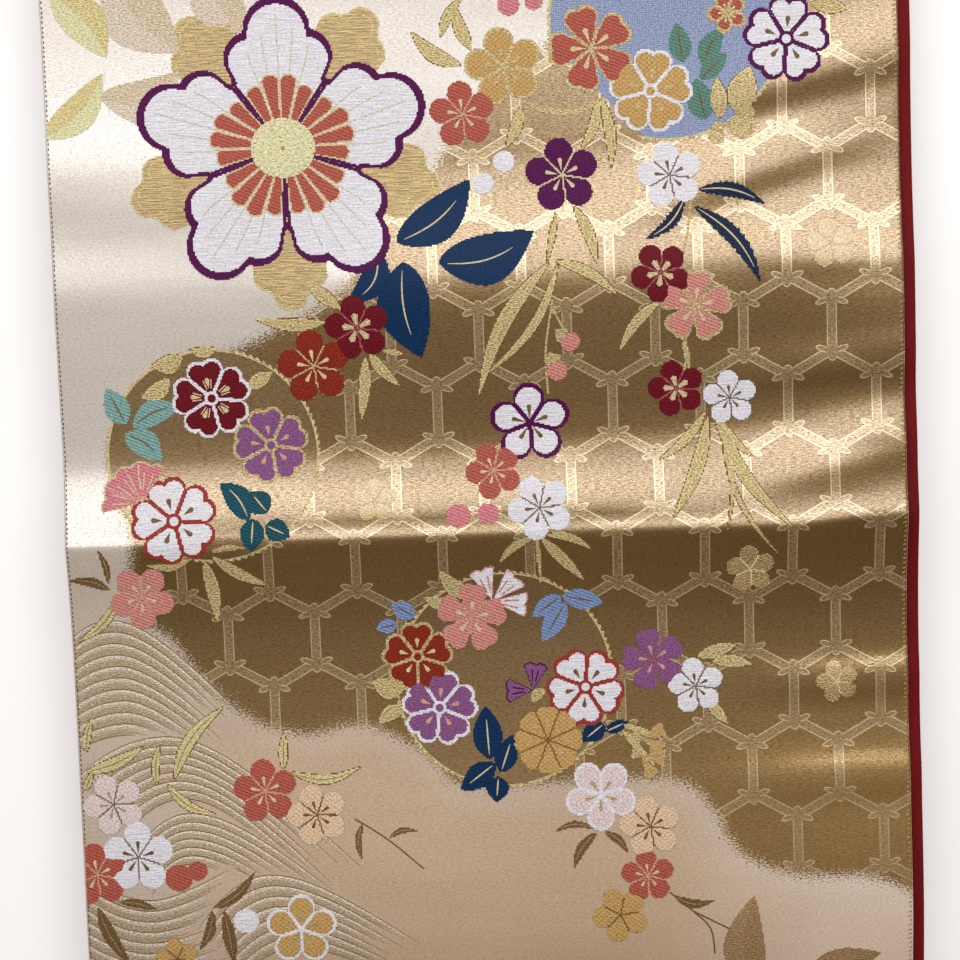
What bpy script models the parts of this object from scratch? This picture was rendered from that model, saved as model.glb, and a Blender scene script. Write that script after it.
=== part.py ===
"""A formal obi sash, folded in half three times and laid flat, face up.

The sash is two long strips sewn together along their edges: a brocade face and a plain crimson back.
Folding a strip in half three times makes eight stretches, one on another. Counted from the top they are
joined end to end in the order 1, 8, 5, 4, 3, 6, 7, 2, so the cloth lies as two nested wraps round a core:

    outer wrap   stretch 1, the far turn, stretch 8 and the near turn up to stretch 5, brocade outside
    inner wrap   stretch 2, the far turn, stretch 7 and the near turn up to stretch 6, crimson outside
    core         stretches 3 to 6, hidden, with their edges showing as layers

+X runs across the sash, +Y along it to the far fold, +Z up from the table. Metres throughout.
"""

import math
from collections import namedtuple

import bpy

MM = 0.001

# The sash as it is sewn.
SASH_WIDTH = 310 * MM
SASH_LENGTH = 4400 * MM
STRETCHES = 8
FACE_THICKNESS = 1.1 * MM
BACK_THICKNESS = 1.0 * MM
SEAM_GAP = 0.3 * MM

# How it is folded.
LAYER_PITCH = 3.0 * MM
FOLDED_LENGTH = SASH_LENGTH / STRETCHES
HALF_LENGTH = FOLDED_LENGTH / 2
HALF_WIDTH = SASH_WIDTH / 2
STACK_HEIGHT = STRETCHES * LAYER_PITCH
MID_HEIGHT = STACK_HEIGHT / 2
TARE_INSET = 1.0 * MM  # how far the upper free end stops short of the near turn
TE_INSET = 4.0 * MM  # the same for the free end below it
CORE_INSET = 3.0 * MM  # the same for the fold of stretches 3 and 4
CLEARANCE = 0.3 * MM

# Each stretch lies a little to one side of the last one, so the turned one shows along the right edge.
SIDE_STEP = 5.0 * MM
SIDE_SHIFT = {1: 0.0, 8: 0.8, 5: 1.6, 4: 2.2, 3: 2.8, 6: 3.4, 7: 4.2, 2: 5.0}

# The mesh of the walls.
COLUMNS = 12
COLUMN_BUNCHING = 0.85  # 1 crowds the columns hardest towards both edges
ROW_STEP = 13 * MM
CORE_COLUMNS = 8
CORE_ROW_STEP = 24 * MM
LEAST_ROW = 2.5 * MM
TURN_STEPS = 6

# The ripples of the upper stretches. along: where the crest crosses the middle line. lean: how much the
# crest climbs along the sash for each step across it. far and near: how wide its two flanks are. across
# and spread: the middle and half length of the crest. crisp: 1 is a pressed crease and 2 a soft swell.
Crease = namedtuple("Crease", "along left right bow profile")
CREASES = [
    Crease(-20 * MM, 1, 1.42, 3 * MM, [
        (-75, 0), (-58, 0.1), (-43, 0.4), (-33, 0.85), (-23, 1.75), (-13, 3.25), (-6, 4.6), (-1.5, 5.45),
        (0, 5.6), (1, 5.5), (3.5, 5.02), (8, 4.2), (14, 3.12), (20, 2.06), (27, 1.05), (33, 0.4),
        (40, 0.1), (48, 0),
    ]),
    Crease(71 * MM, 0.4, 1, -9 * MM, [
        (-62, 0), (-56, 0.15), (-50, 0.6), (-36, 1.95), (-21, 3.6), (-10, 4.75), (-4, 5.15), (0, 5.25),
        (4, 5.1), (10, 4.4), (20, 2.7), (28, 1.4), (36, 0.5), (46, 0),
    ]),
]
Ripple = namedtuple("Ripple", "along lean height far near across spread")
RIPPLES = [
    Ripple(83.5 * MM, 0.28, 1.7 * MM, 15 * MM, 8 * MM, 96 * MM, 2 * MM),
    Ripple(115.5 * MM, 0.24, 1.5 * MM, 13 * MM, 7 * MM, 122 * MM, 16 * MM),
    Ripple(-21 * MM, 0.20, 1.8 * MM, 14 * MM, 9 * MM, 150 * MM, 12 * MM),
    Ripple(-9 * MM, 0.00, 0.45 * MM, 7 * MM, 4 * MM, -30 * MM, 60 * MM),
    Ripple(-80 * MM, 0.02, 1.2 * MM, 5 * MM, 7 * MM, 150 * MM, 14 * MM),
    Ripple(-117 * MM, 0.02, 1.1 * MM, 6 * MM, 8 * MM, 145 * MM, 14 * MM),
    Ripple(86 * MM, -0.06, 0.7 * MM, 5 * MM, 6 * MM, 150 * MM, 8 * MM),
    Ripple(26 * MM, 0.10, 1.1 * MM, 8 * MM, 6 * MM, 142 * MM, 16 * MM),
    Ripple(104 * MM, -0.05, 1.5 * MM, 22 * MM, 18 * MM, -120 * MM, 30 * MM),
    Ripple(-165 * MM, 0.03, 5.4 * MM, 62 * MM, 36 * MM, 30 * MM, 140 * MM),
    Ripple(205 * MM, -0.03, 1.8 * MM, 24 * MM, 26 * MM, -20 * MM, 130 * MM),
]
RIPPLE_END_FADE = 40 * MM  # how far past the end of its crest a ripple dies out
CREST_MARKS = (-7 * MM, -3 * MM, 0.0, 3 * MM, 7 * MM)  # extra rows beside the pressed crease
TURN_MARGIN = 22 * MM  # the cloth lies flat this near each end
MARGIN_FADE = 30 * MM

# The core's edge: each layer bulges, with a groove above and below it.
GROOVE = 1.5 * MM
BULGE_LEVELS = (0.0, 0.22, 0.78)

BROCADE = ((0.60, 0.47, 0.28), 0.38, 0.45)  # colour, roughness, metallic
CRIMSON = ((0.26, 0.015, 0.022), 0.75, 0.0)
LAYERED = ((0.50, 0.36, 0.22), 0.55, 0.2)


def smooth_step(value):
    """0 below 0, 1 above 1, with a smooth run between."""
    t = min(1.0, max(0.0, value))
    return t * t * (3 - 2 * t)


def crease_height(crease, x, y):
    """How high a pressed crease stands at (x, y)."""
    off = y - crease.along - crease.bow * smooth_step((x - 105 * MM) / (45 * MM))
    if off > 0:
        off /= 1 + (0.4 if x > 0 else 0.15) * x / HALF_WIDTH
    rows = [(out * MM, height * MM) for out, height in crease.profile]
    if not rows[0][0] < off < rows[-1][0]:
        return 0.0
    k = max(i for i, row in enumerate(rows[:-1]) if row[0] <= off)
    (y0, z0), (y1, z1) = rows[k], rows[k + 1]
    step, t = y1 - y0, (off - y0) / (y1 - y0)
    slope0, slope1 = profile_slope(rows, k) * step, profile_slope(rows, k + 1) * step
    t2, t3 = t * t, t * t * t
    height = z0 * (2 * t3 - 3 * t2 + 1) + slope0 * (t3 - 2 * t2 + t) + z1 * (3 * t2 - 2 * t3) + slope1 * (t3 - t2)
    height *= crease.left + (1 - crease.left) * smooth_step((x + 95 * MM) / (80 * MM))
    return height * (1 + (crease.right - 1) * smooth_step((x - 20 * MM) / (110 * MM)))


def profile_slope(rows, k):
    """The slope of a crease's side view at one of its points, kept free of overshoot."""
    if k in (0, len(rows) - 1):
        return 0.0
    before = (rows[k][1] - rows[k - 1][1]) / (rows[k][0] - rows[k - 1][0])
    after = (rows[k + 1][1] - rows[k][1]) / (rows[k + 1][0] - rows[k][0])
    return 0.0 if before * after <= 0 else 2 * before * after / (before + after)


def ripple_height(x, y):
    """How high the top of the stack is lifted above flat at (x, y)."""
    total = sum(crease_height(crease, x, y) for crease in CREASES)
    for ripple in RIPPLES:
        off = y - ripple.along - ripple.lean * x
        flank = ripple.far if off > 0 else ripple.near
        past_end = max(0.0, abs(x - ripple.across) - ripple.spread)
        total += ripple.height * math.exp(-((past_end / RIPPLE_END_FADE) ** 2) - (off / flank) ** 2)
    return total * smooth_step((HALF_LENGTH - TURN_MARGIN - abs(y)) / MARGIN_FADE)


def settle(x, y, z):
    """Lifts a point of the flat stack. The upper half carries the ripples, and the lower half lies flat."""
    share = max(0.0, (z - MID_HEIGHT) / MID_HEIGHT)
    return x, y, z + share * ripple_height(x, y)


def side_shift(stretch):
    """How far a stretch's middle lies from x = 0, with the whole stack centred."""
    return SIDE_SHIFT[stretch] * MM - SIDE_STEP / 2


def stations(start, end, step):
    """Places from start to end, about a step apart, with rows on and beside the pressed crease."""
    count = max(1, round(abs(end - start) / step))
    even = [start + (end - start) * i / count for i in range(count + 1)]
    marks = [CREASES[0].along + mark for mark in CREST_MARKS]
    kept = [y for y in even[1:-1] if min(abs(y - mark) for mark in marks) > LEAST_ROW]
    return sorted([start, *kept, *marks, end])


def columns(count):
    """Places across a strip, closer together towards its edges."""
    reach = math.sin(COLUMN_BUNCHING * math.pi / 2)
    return [
        HALF_WIDTH * math.sin(COLUMN_BUNCHING * math.pi / 2 * (2 * i / count - 1)) / reach
        for i in range(count + 1)
    ]


def turn(centre_y, centre_z, radius, start_degrees, end_degrees, first_stretch, last_stretch):
    """The points between the two ends of a turn, each with its outward direction and its side shift."""
    points = []
    for i in range(1, TURN_STEPS):
        share = i / TURN_STEPS
        angle = math.radians(start_degrees + (end_degrees - start_degrees) * share)
        out_y, out_z = math.cos(angle), math.sin(angle)
        shift = side_shift(first_stretch) * (1 - share) + side_shift(last_stretch) * share
        points.append((centre_y + radius * out_y, centre_z + radius * out_z, out_y, out_z, shift))
    return points


def wrap_line(depth, free_end_inset, upper, lower, last):
    """The outer line of a wrap, as (y, z, outward y, outward z, side shift).

    depth is how far it lies inside the outermost wrap. It runs along the upper stretch, round the far
    turn, back along the lower stretch and up round the near turn to the last one.
    """
    far_radius = MID_HEIGHT - depth
    far_centre = HALF_LENGTH - MID_HEIGHT
    near_radius = MID_HEIGHT / 2 - depth - CLEARANCE / 2
    near_centre_y = -HALF_LENGTH + MID_HEIGHT / 2 - CLEARANCE / 2
    near_centre_z = depth + near_radius
    start = -HALF_LENGTH + free_end_inset
    line = [
        (y, STACK_HEIGHT - depth, 0.0, 1.0, side_shift(upper)) for y in stations(start, far_centre, ROW_STEP)
    ]
    line += turn(far_centre, MID_HEIGHT, far_radius, 90, -90, upper, lower)
    line += [(y, depth, 0.0, -1.0, side_shift(lower)) for y in (far_centre, near_centre_y)]
    line += turn(near_centre_y, near_centre_z, near_radius, -90, -270, lower, last)
    line.append((near_centre_y, near_centre_z + near_radius, 0.0, 1.0, side_shift(last)))
    return line


def new_object(name, points, faces, finish):
    """A mesh object with one plain material, shaded smooth except at its cut edges."""
    colour, roughness, metallic = finish
    mesh = bpy.data.meshes.new(name)
    mesh.from_pydata(points, [], faces)
    mesh.validate()
    mesh.shade_smooth()
    mesh.set_sharp_from_angle(angle=math.radians(40))
    material = bpy.data.materials.new(name)
    material.use_nodes = True
    shader = material.node_tree.nodes["Principled BSDF"]
    shader.inputs["Base Color"].default_value = (*colour, 1.0)
    shader.inputs["Roughness"].default_value = roughness
    shader.inputs["Metallic"].default_value = metallic
    mesh.materials.append(material)
    made = bpy.data.objects.new(name, mesh)
    bpy.context.scene.collection.objects.link(made)
    return made


def cloth_strip(name, line, inside, thickness, finish):
    """One cloth of a wrap: a sheet that follows the line, inside by a depth, thickened inwards."""
    across = columns(COLUMNS)
    points = [
        settle(x + shift, y - inside * out_y, z - inside * out_z)
        for y, z, out_y, out_z, shift in line
        for x in across
    ]
    row = len(across)
    faces = [
        (j * row + i, j * row + i + 1, (j + 1) * row + i + 1, (j + 1) * row + i)
        for j in range(len(line) - 1)
        for i in range(row - 1)
    ]
    strip = new_object(name, points, faces, finish)
    wall = strip.modifiers.new("cloth thickness", "SOLIDIFY")
    wall.thickness = thickness
    wall.offset = -1
    wall.use_even_offset = True
    return strip


def core_levels():
    """The core's outline at each height: (z, left, right, near, far), grooved between its layers."""
    levels = []
    for stretch in (6, 5, 4, 3):
        base = (STRETCHES - stretch) * LAYER_PITCH
        for share in BULGE_LEVELS:
            inset = GROOVE if share == 0.0 else 0.0
            levels.append((base + share * LAYER_PITCH, stretch, inset))
    levels.append((6 * LAYER_PITCH, 3, GROOVE))
    outlines = []
    for z, stretch, inset in levels:
        left = side_shift(stretch) - HALF_WIDTH + inset
        right = side_shift(stretch) + HALF_WIDTH - inset
        fold_radius = LAYER_PITCH
        far_radius = 2 * LAYER_PITCH
        far = HALF_LENGTH - MID_HEIGHT + math.sqrt(max(0.0, far_radius**2 - (z - MID_HEIGHT) ** 2))
        near = -HALF_LENGTH + MID_HEIGHT / 2 + CLEARANCE
        if z >= MID_HEIGHT:
            rise = z - 5 * LAYER_PITCH
            near = -HALF_LENGTH + CORE_INSET + fold_radius
            near -= math.sqrt(max(0.0, fold_radius**2 - rise**2))
        outlines.append((z, left, right, near, far))
    return outlines


def core_grid(outline, rows, across):
    """The core's points at one height, row by row, with its edge rows and columns on its outline."""
    z, left, right, near, far = outline
    xs = [left, *across[1:-1], right]
    ys = [near, *rows[1:-1], far]
    return [[settle(x, y, z) for x in xs] for y in ys]


def edge_loop(grid):
    """The points round the edge of a grid, in order, as (row, column)."""
    last_row, last_column = len(grid) - 1, len(grid[0]) - 1
    loop = [(0, i) for i in range(last_column)]
    loop += [(j, last_column) for j in range(last_row)]
    loop += [(last_row, i) for i in range(last_column, 0, -1)]
    loop += [(j, 0) for j in range(last_row, 0, -1)]
    return loop


def folded_core():
    """Stretches 3 to 6 as one solid: a gridded top and underside, and sides built up in rings."""
    rows = stations(-HALF_LENGTH + MID_HEIGHT, HALF_LENGTH - MID_HEIGHT, CORE_ROW_STEP)
    across = columns(CORE_COLUMNS)
    grids = [core_grid(outline, rows, across) for outline in core_levels()]
    bottom, top = grids[0], grids[-1]
    row, height = len(across), len(rows)
    points = [point for grid in (bottom, top) for line in grid for point in line]
    top_start = row * height
    loop = edge_loop(top)
    rings = [[j * row + i for j, i in loop]]
    for grid in grids[1:-1]:
        rings.append(list(range(len(points), len(points) + len(loop))))
        points += [grid[j][i] for j, i in loop]
    rings.append([top_start + j * row + i for j, i in loop])
    faces = []
    for j in range(height - 1):
        for i in range(row - 1):
            a = j * row + i
            faces.append((a, a + row, a + row + 1, a + 1))
            faces.append(tuple(top_start + k for k in (a, a + 1, a + row + 1, a + row)))
    for lower, upper in zip(rings, rings[1:]):
        for k in range(len(loop)):
            n = (k + 1) % len(loop)
            faces.append((lower[k], lower[n], upper[n], upper[k]))
    return new_object("folded_layers", points, faces, LAYERED)


def build():
    for old in list(bpy.data.objects):
        bpy.data.objects.remove(old)
    outer = wrap_line(0.0, TARE_INSET, 1, 8, 5)
    inner = wrap_line(LAYER_PITCH, TE_INSET, 2, 7, 6)
    cloth_strip("top_face_cloth", outer, 0.0, FACE_THICKNESS, BROCADE)
    cloth_strip("top_back_cloth", outer, FACE_THICKNESS + SEAM_GAP, BACK_THICKNESS, CRIMSON)
    cloth_strip("turned_back_cloth", inner, 0.0, BACK_THICKNESS, CRIMSON)
    cloth_strip("turned_face_cloth", inner, BACK_THICKNESS + SEAM_GAP, FACE_THICKNESS, BROCADE)
    folded_core()


build()
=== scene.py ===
"""A formal obi sash of gold brocade, folded and laid flat, with its woven blossoms.

The cloths follow the folded lines of the solids. The blossoms, leaves and water are laid on the top
stretch as raised wefts, one mesh for each colour of silk.

+X runs across the sash, +Y along it and +Z up from the table. Places and sizes in the tables are in
millimetres. Blender's own are in metres.
"""

from __future__ import annotations

import logging
import math
from dataclasses import astuple, dataclass, field
from enum import Enum, IntEnum
from typing import Sequence, Union

import bpy
from mathutils import Matrix, Vector, geometry

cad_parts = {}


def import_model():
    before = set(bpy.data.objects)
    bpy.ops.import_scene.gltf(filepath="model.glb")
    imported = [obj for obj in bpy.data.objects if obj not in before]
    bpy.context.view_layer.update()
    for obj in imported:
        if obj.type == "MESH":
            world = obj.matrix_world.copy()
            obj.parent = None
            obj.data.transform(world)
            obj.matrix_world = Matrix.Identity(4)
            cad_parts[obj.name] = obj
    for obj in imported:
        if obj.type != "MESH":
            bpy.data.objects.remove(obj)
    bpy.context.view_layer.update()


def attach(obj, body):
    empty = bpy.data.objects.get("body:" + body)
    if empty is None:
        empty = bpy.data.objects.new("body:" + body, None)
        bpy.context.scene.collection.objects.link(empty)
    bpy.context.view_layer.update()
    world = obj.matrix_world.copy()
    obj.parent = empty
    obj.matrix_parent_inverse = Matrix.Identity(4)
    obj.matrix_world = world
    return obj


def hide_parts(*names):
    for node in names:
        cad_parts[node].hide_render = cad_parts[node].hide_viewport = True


LOG = logging.getLogger("obi")
MM = 0.001
Point = tuple[float, float]
Spot = tuple[float, float, float]
Colour = tuple[float, float, float]

# The folded sash.
HALF_WIDTH = 155.0
HALF_LENGTH = 275.0
LAYER_PITCH = 3.0
STACK_HEIGHT = 24.0
MID_HEIGHT = 12.0
FACE_THICKNESS = 1.1
BACK_THICKNESS = 1.0
SEAM_GAP = 0.3
CLEARANCE = 0.3
# How far in the top stretch starts (the tare end), then the one below it (the te end) and the hidden ones.
TARE_INSET = 1.0
TE_INSET = 4.0
CORE_INSET = 3.0
# How far each stretch, counted from the top down, lies to the right.
SIDE_STEP = 5.0
SIDE_SHIFT = {1: 0.0, 8: 0.8, 5: 1.6, 4: 2.2, 3: 2.8, 6: 3.4, 7: 4.2, 2: 5.0}
TOP_MIDDLE = -SIDE_STEP / 2
LEFT_EDGE = TOP_MIDDLE - HALF_WIDTH
RIGHT_EDGE = TOP_MIDDLE + HALF_WIDTH
# The turns at the two ends of the stack, and the radius of the near one.
FAR_TURN = HALF_LENGTH - MID_HEIGHT
NEAR_TURN = -HALF_LENGTH + MID_HEIGHT / 2 - CLEARANCE / 2
TURN_RADIUS = MID_HEIGHT / 2 - CLEARANCE / 2
# The distances between the rows of the hidden stretches.
INNER_STEP, CORE_STEP, LOWER_STEP = 4.0, 9.0, 15.0

# The creases and ripples.
CREST_ROUNDING = 1.2
FADE_LENGTH = 40.0
# Where a crease bows away, and where its height changes from the left and toward the right.
BOW_START, BOW_RUN = 105.0, 45.0
LEFT_START, LEFT_RUN = -95.0, 80.0
RIGHT_START, RIGHT_RUN = 20.0, 110.0
LEFT_WIDENING, RIGHT_WIDENING = 0.15, 0.4
# The top of the stack is flat over its last stretch at both ends.
END_FLAT, END_RUN = 22.0, 30.0


@dataclass(frozen=True)
class Ripple:
    """One crest across the top of the stack.

    along is where it crosses the middle line, and lean is how much it climbs for each step across. far
    and near are the widths of its flanks. across and spread give its middle and half length.
    """

    along: float
    lean: float
    height: float
    far: float
    near: float
    across: float
    spread: float

    def lift(self, x: float, y: float) -> float:
        """Works out how high the crest stands at a place.

        Args:
            x: The place across the sash.
            y: The place along it.

        Returns:
            The height there, in millimetres.
        """
        off = y - self.along - self.lean * x
        flank = self.far if off > 0 else self.near
        past_end = max(0.0, abs(x - self.across) - self.spread)
        fade = math.exp(-((past_end / FADE_LENGTH) ** 2))
        rounded = math.sqrt(off * off + CREST_ROUNDING**2) - CREST_ROUNDING
        return self.height * fade * math.exp(-((rounded / flank) ** 2))


@dataclass(frozen=True)
class Crease:
    """One long fold mark right across the top of the stack, with its own side view.

    along is where its crest runs, profile lists the heights at distances from the crest, left and right are
    the shares of the height that it has at the two edges, and bow is how far it climbs at the right edge.
    """

    along: float
    left: float
    right: float
    bow: float
    profile: tuple[Point, ...]

    def lift(self, x: float, y: float) -> float:
        """Works out how high the crease stands at a place.

        Args:
            x: The place across the sash.
            y: The place along it.

        Returns:
            The height there, in millimetres.
        """
        off = y - self.along - self.bow * smooth_step((x - BOW_START) / BOW_RUN)
        if off > 0.0:
            off /= 1.0 + (RIGHT_WIDENING if x > 0 else LEFT_WIDENING) * x / HALF_WIDTH
        rows = self.profile
        if not rows[0][0] < off < rows[-1][0]:
            return 0.0
        k = max(i for i, row in enumerate(rows[:-1]) if row[0] <= off)
        (x0, z0), (x1, z1) = rows[k], rows[k + 1]
        step, t = x1 - x0, (off - x0) / (x1 - x0)
        m0, m1 = self.slope(k) * step, self.slope(k + 1) * step
        t2, t3 = t * t, t * t * t
        height = z0 * (2 * t3 - 3 * t2 + 1) + m0 * (t3 - 2 * t2 + t) + z1 * (3 * t2 - 2 * t3) + m1 * (t3 - t2)
        height *= self.left + (1.0 - self.left) * smooth_step((x - LEFT_START) / LEFT_RUN)
        return height * (1.0 + (self.right - 1.0) * smooth_step((x - RIGHT_START) / RIGHT_RUN))

    def slope(self, k: int) -> float:
        """Gives the profile's slope at one of its points.

        Args:
            k: The point's number.

        Returns:
            The slope, 0 at a peak or a foot.
        """
        rows = self.profile
        if k in (0, len(rows) - 1):
            return 0.0
        before = (rows[k][1] - rows[k - 1][1]) / (rows[k][0] - rows[k - 1][0])
        after = (rows[k + 1][1] - rows[k][1]) / (rows[k + 1][0] - rows[k][0])
        return 0.0 if before * after <= 0 else 2 * before * after / (before + after)


CREASES = [
    Crease(-20, 1.0, 1.42, 3.0, (
        (-75, 0), (-58, 0.1), (-43, 0.4), (-33, 0.85), (-23, 1.75), (-13, 3.25), (-6, 4.6), (-1.5, 5.45),
        (0, 5.6), (1, 5.5), (3.5, 5.02), (8, 4.2), (14, 3.12), (20, 2.06), (27, 1.05), (33, 0.4), (40, 0.1),
        (48, 0),
    )),
    Crease(71, 0.4, 1.0, -9.0, (
        (-62, 0.0), (-56, 0.15), (-50, 0.6), (-36, 1.95), (-21, 3.6), (-10, 4.75), (-4, 5.15), (0, 5.25),
        (4, 5.1), (10, 4.4), (20, 2.7), (28, 1.4), (36, 0.5), (46, 0.0),
    )),
]
RIPPLES = [
    Ripple(83.5, 0.28, 1.7, 15, 8, 96, 2),
    Ripple(115.5, 0.24, 1.5, 13, 7, 122, 16),
    Ripple(-21, 0.20, 1.8, 14, 9, 150, 12),
    Ripple(-9, 0.00, 0.45, 7, 4, -30, 60),
    Ripple(-80, 0.02, 1.2, 5, 7, 150, 14),
    Ripple(-117, 0.02, 1.1, 6, 8, 145, 14),
    Ripple(86, -0.06, 0.7, 5, 6, 150, 8),
    Ripple(26, 0.10, 1.1, 8, 6, 142, 16),
    Ripple(104, -0.05, 1.5, 22, 18, -120, 30),
    Ripple(-165, 0.03, 5.4, 62, 36, 30, 140),
    Ripple(205, -0.03, 1.8, 24, 26, -20, 130),
]


def smooth_step(value: float) -> float:
    """Gives 0 below 0, 1 above 1, and a smooth run between."""
    t = min(1.0, max(0.0, value))
    return t * t * (3 - 2 * t)


def ripple_height(x: float, y: float) -> float:
    """Works out how high the top of the stack is lifted above flat.

    Args:
        x: The place across the sash.
        y: The place along it.

    Returns:
        The lift there, in millimetres.
    """
    total = sum(mark.lift(x, y) for mark in (*CREASES, *RIPPLES))
    return total * smooth_step((HALF_LENGTH - END_FLAT - abs(y)) / END_RUN)


def side_shift(stretch: int) -> float:
    """Gives how far a stretch's middle lies from the frame's middle line."""
    return SIDE_SHIFT[stretch] - SIDE_STEP / 2


# ---------------------------------------------------------------------------------------- shader maths


class Form(Enum):
    """How a silk's wefts lie."""

    FLOATS = "long loose wefts side by side"
    TWILL = "slanting ribs"
    RIBS = "fine upright ribs"
    SCALES = "a net of small scales"
    METAL = "twisted metal thread"
    HATCH = "fine crossed twill"
    PLAIN = "close plain weave"


@dataclass(frozen=True)
class Silk:
    """A colour of weft and how it is woven in."""

    colour: Colour
    form: Form
    shade: float = 0.75
    roughness: float = 0.5
    metallic: float = 0.0


class Value:
    """A number that varies over a surface. Its operators add Math nodes."""

    def __init__(self, graph: "Graph", socket: bpy.types.NodeSocket) -> None:
        """Keeps the graph and the socket that gives the number."""
        self.graph = graph
        self.socket = socket

    def _math(self, operation: str, *others: "Number", swap: bool = False) -> "Value":
        """Adds one Math node.

        Args:
            operation: The node's operation.
            others: The other numbers it takes.
            swap: Whether this value comes second.

        Returns:
            The node's result.
        """
        order = [*others, self] if swap else [self, *others]
        node = self.graph.node("ShaderNodeMath", {"operation": operation}, dict(enumerate(order)))
        return Value(self.graph, node.outputs[0])

    def __add__(self, other: "Number") -> "Value":
        """Adds."""
        return self._math("ADD", other)

    def __sub__(self, other: "Number") -> "Value":
        """Takes away."""
        return self._math("SUBTRACT", other)

    def __rsub__(self, other: "Number") -> "Value":
        """Takes this away from a number."""
        return self._math("SUBTRACT", other, swap=True)

    def __mul__(self, other: "Number") -> "Value":
        """Multiplies."""
        return self._math("MULTIPLY", other)

    __radd__, __rmul__ = __add__, __mul__

    def __truediv__(self, other: "Number") -> "Value":
        """Divides."""
        return self._math("DIVIDE", other)

    def __abs__(self) -> "Value":
        """Drops the sign."""
        return self._math("ABSOLUTE")

    def wrap(self, span: float) -> "Value":
        """Gives what is left of this over whole spans."""
        return self._math("FLOORED_MODULO", span)

    def least(self, other: "Number") -> "Value":
        """Gives the smaller of two."""
        return self._math("MINIMUM", other)

    def most(self, other: "Number") -> "Value":
        """Gives the larger of two."""
        return self._math("MAXIMUM", other)

    def root(self) -> "Value":
        """Gives the square root."""
        return self._math("SQRT")

    def sine(self) -> "Value":
        """Gives the sine, this being an angle in radians."""
        return self._math("SINE")

    def under(self, limit: "Number", soft: float) -> "Value":
        """Gives 1 where this is under a limit and 0 where it is over, with a soft step.

        Args:
            limit: Where the step is.
            soft: How wide the step is.

        Returns:
            The step.
        """
        return ((limit - self) / soft + 0.5).most(0.0).least(1.0)


class Tint:
    """A colour that varies over a surface."""

    def __init__(self, graph: "Graph", socket: bpy.types.NodeSocket) -> None:
        """Keeps the graph and the socket that gives the colour."""
        self.graph = graph
        self.socket = socket

    def mixed(self, other: Union["Tint", Colour], share: "Number") -> "Tint":
        """Mixes another colour in.

        Args:
            other: The other colour.
            share: How much of it there is, from 0 to 1.

        Returns:
            The mixed colour.
        """
        sockets = {0: share, 6: self, 7: other}
        return Tint(self.graph, self.graph.node("ShaderNodeMix", {"data_type": "RGBA"}, sockets).outputs[2])

    def scaled(self, share: "Number") -> "Tint":
        """Makes the colour lighter or darker by a factor."""
        node = self.graph.node("ShaderNodeVectorMath", {"operation": "SCALE"}, {0: self, "Scale": share})
        return Tint(self.graph, node.outputs[0])


Number = Union[Value, float, int]


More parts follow.
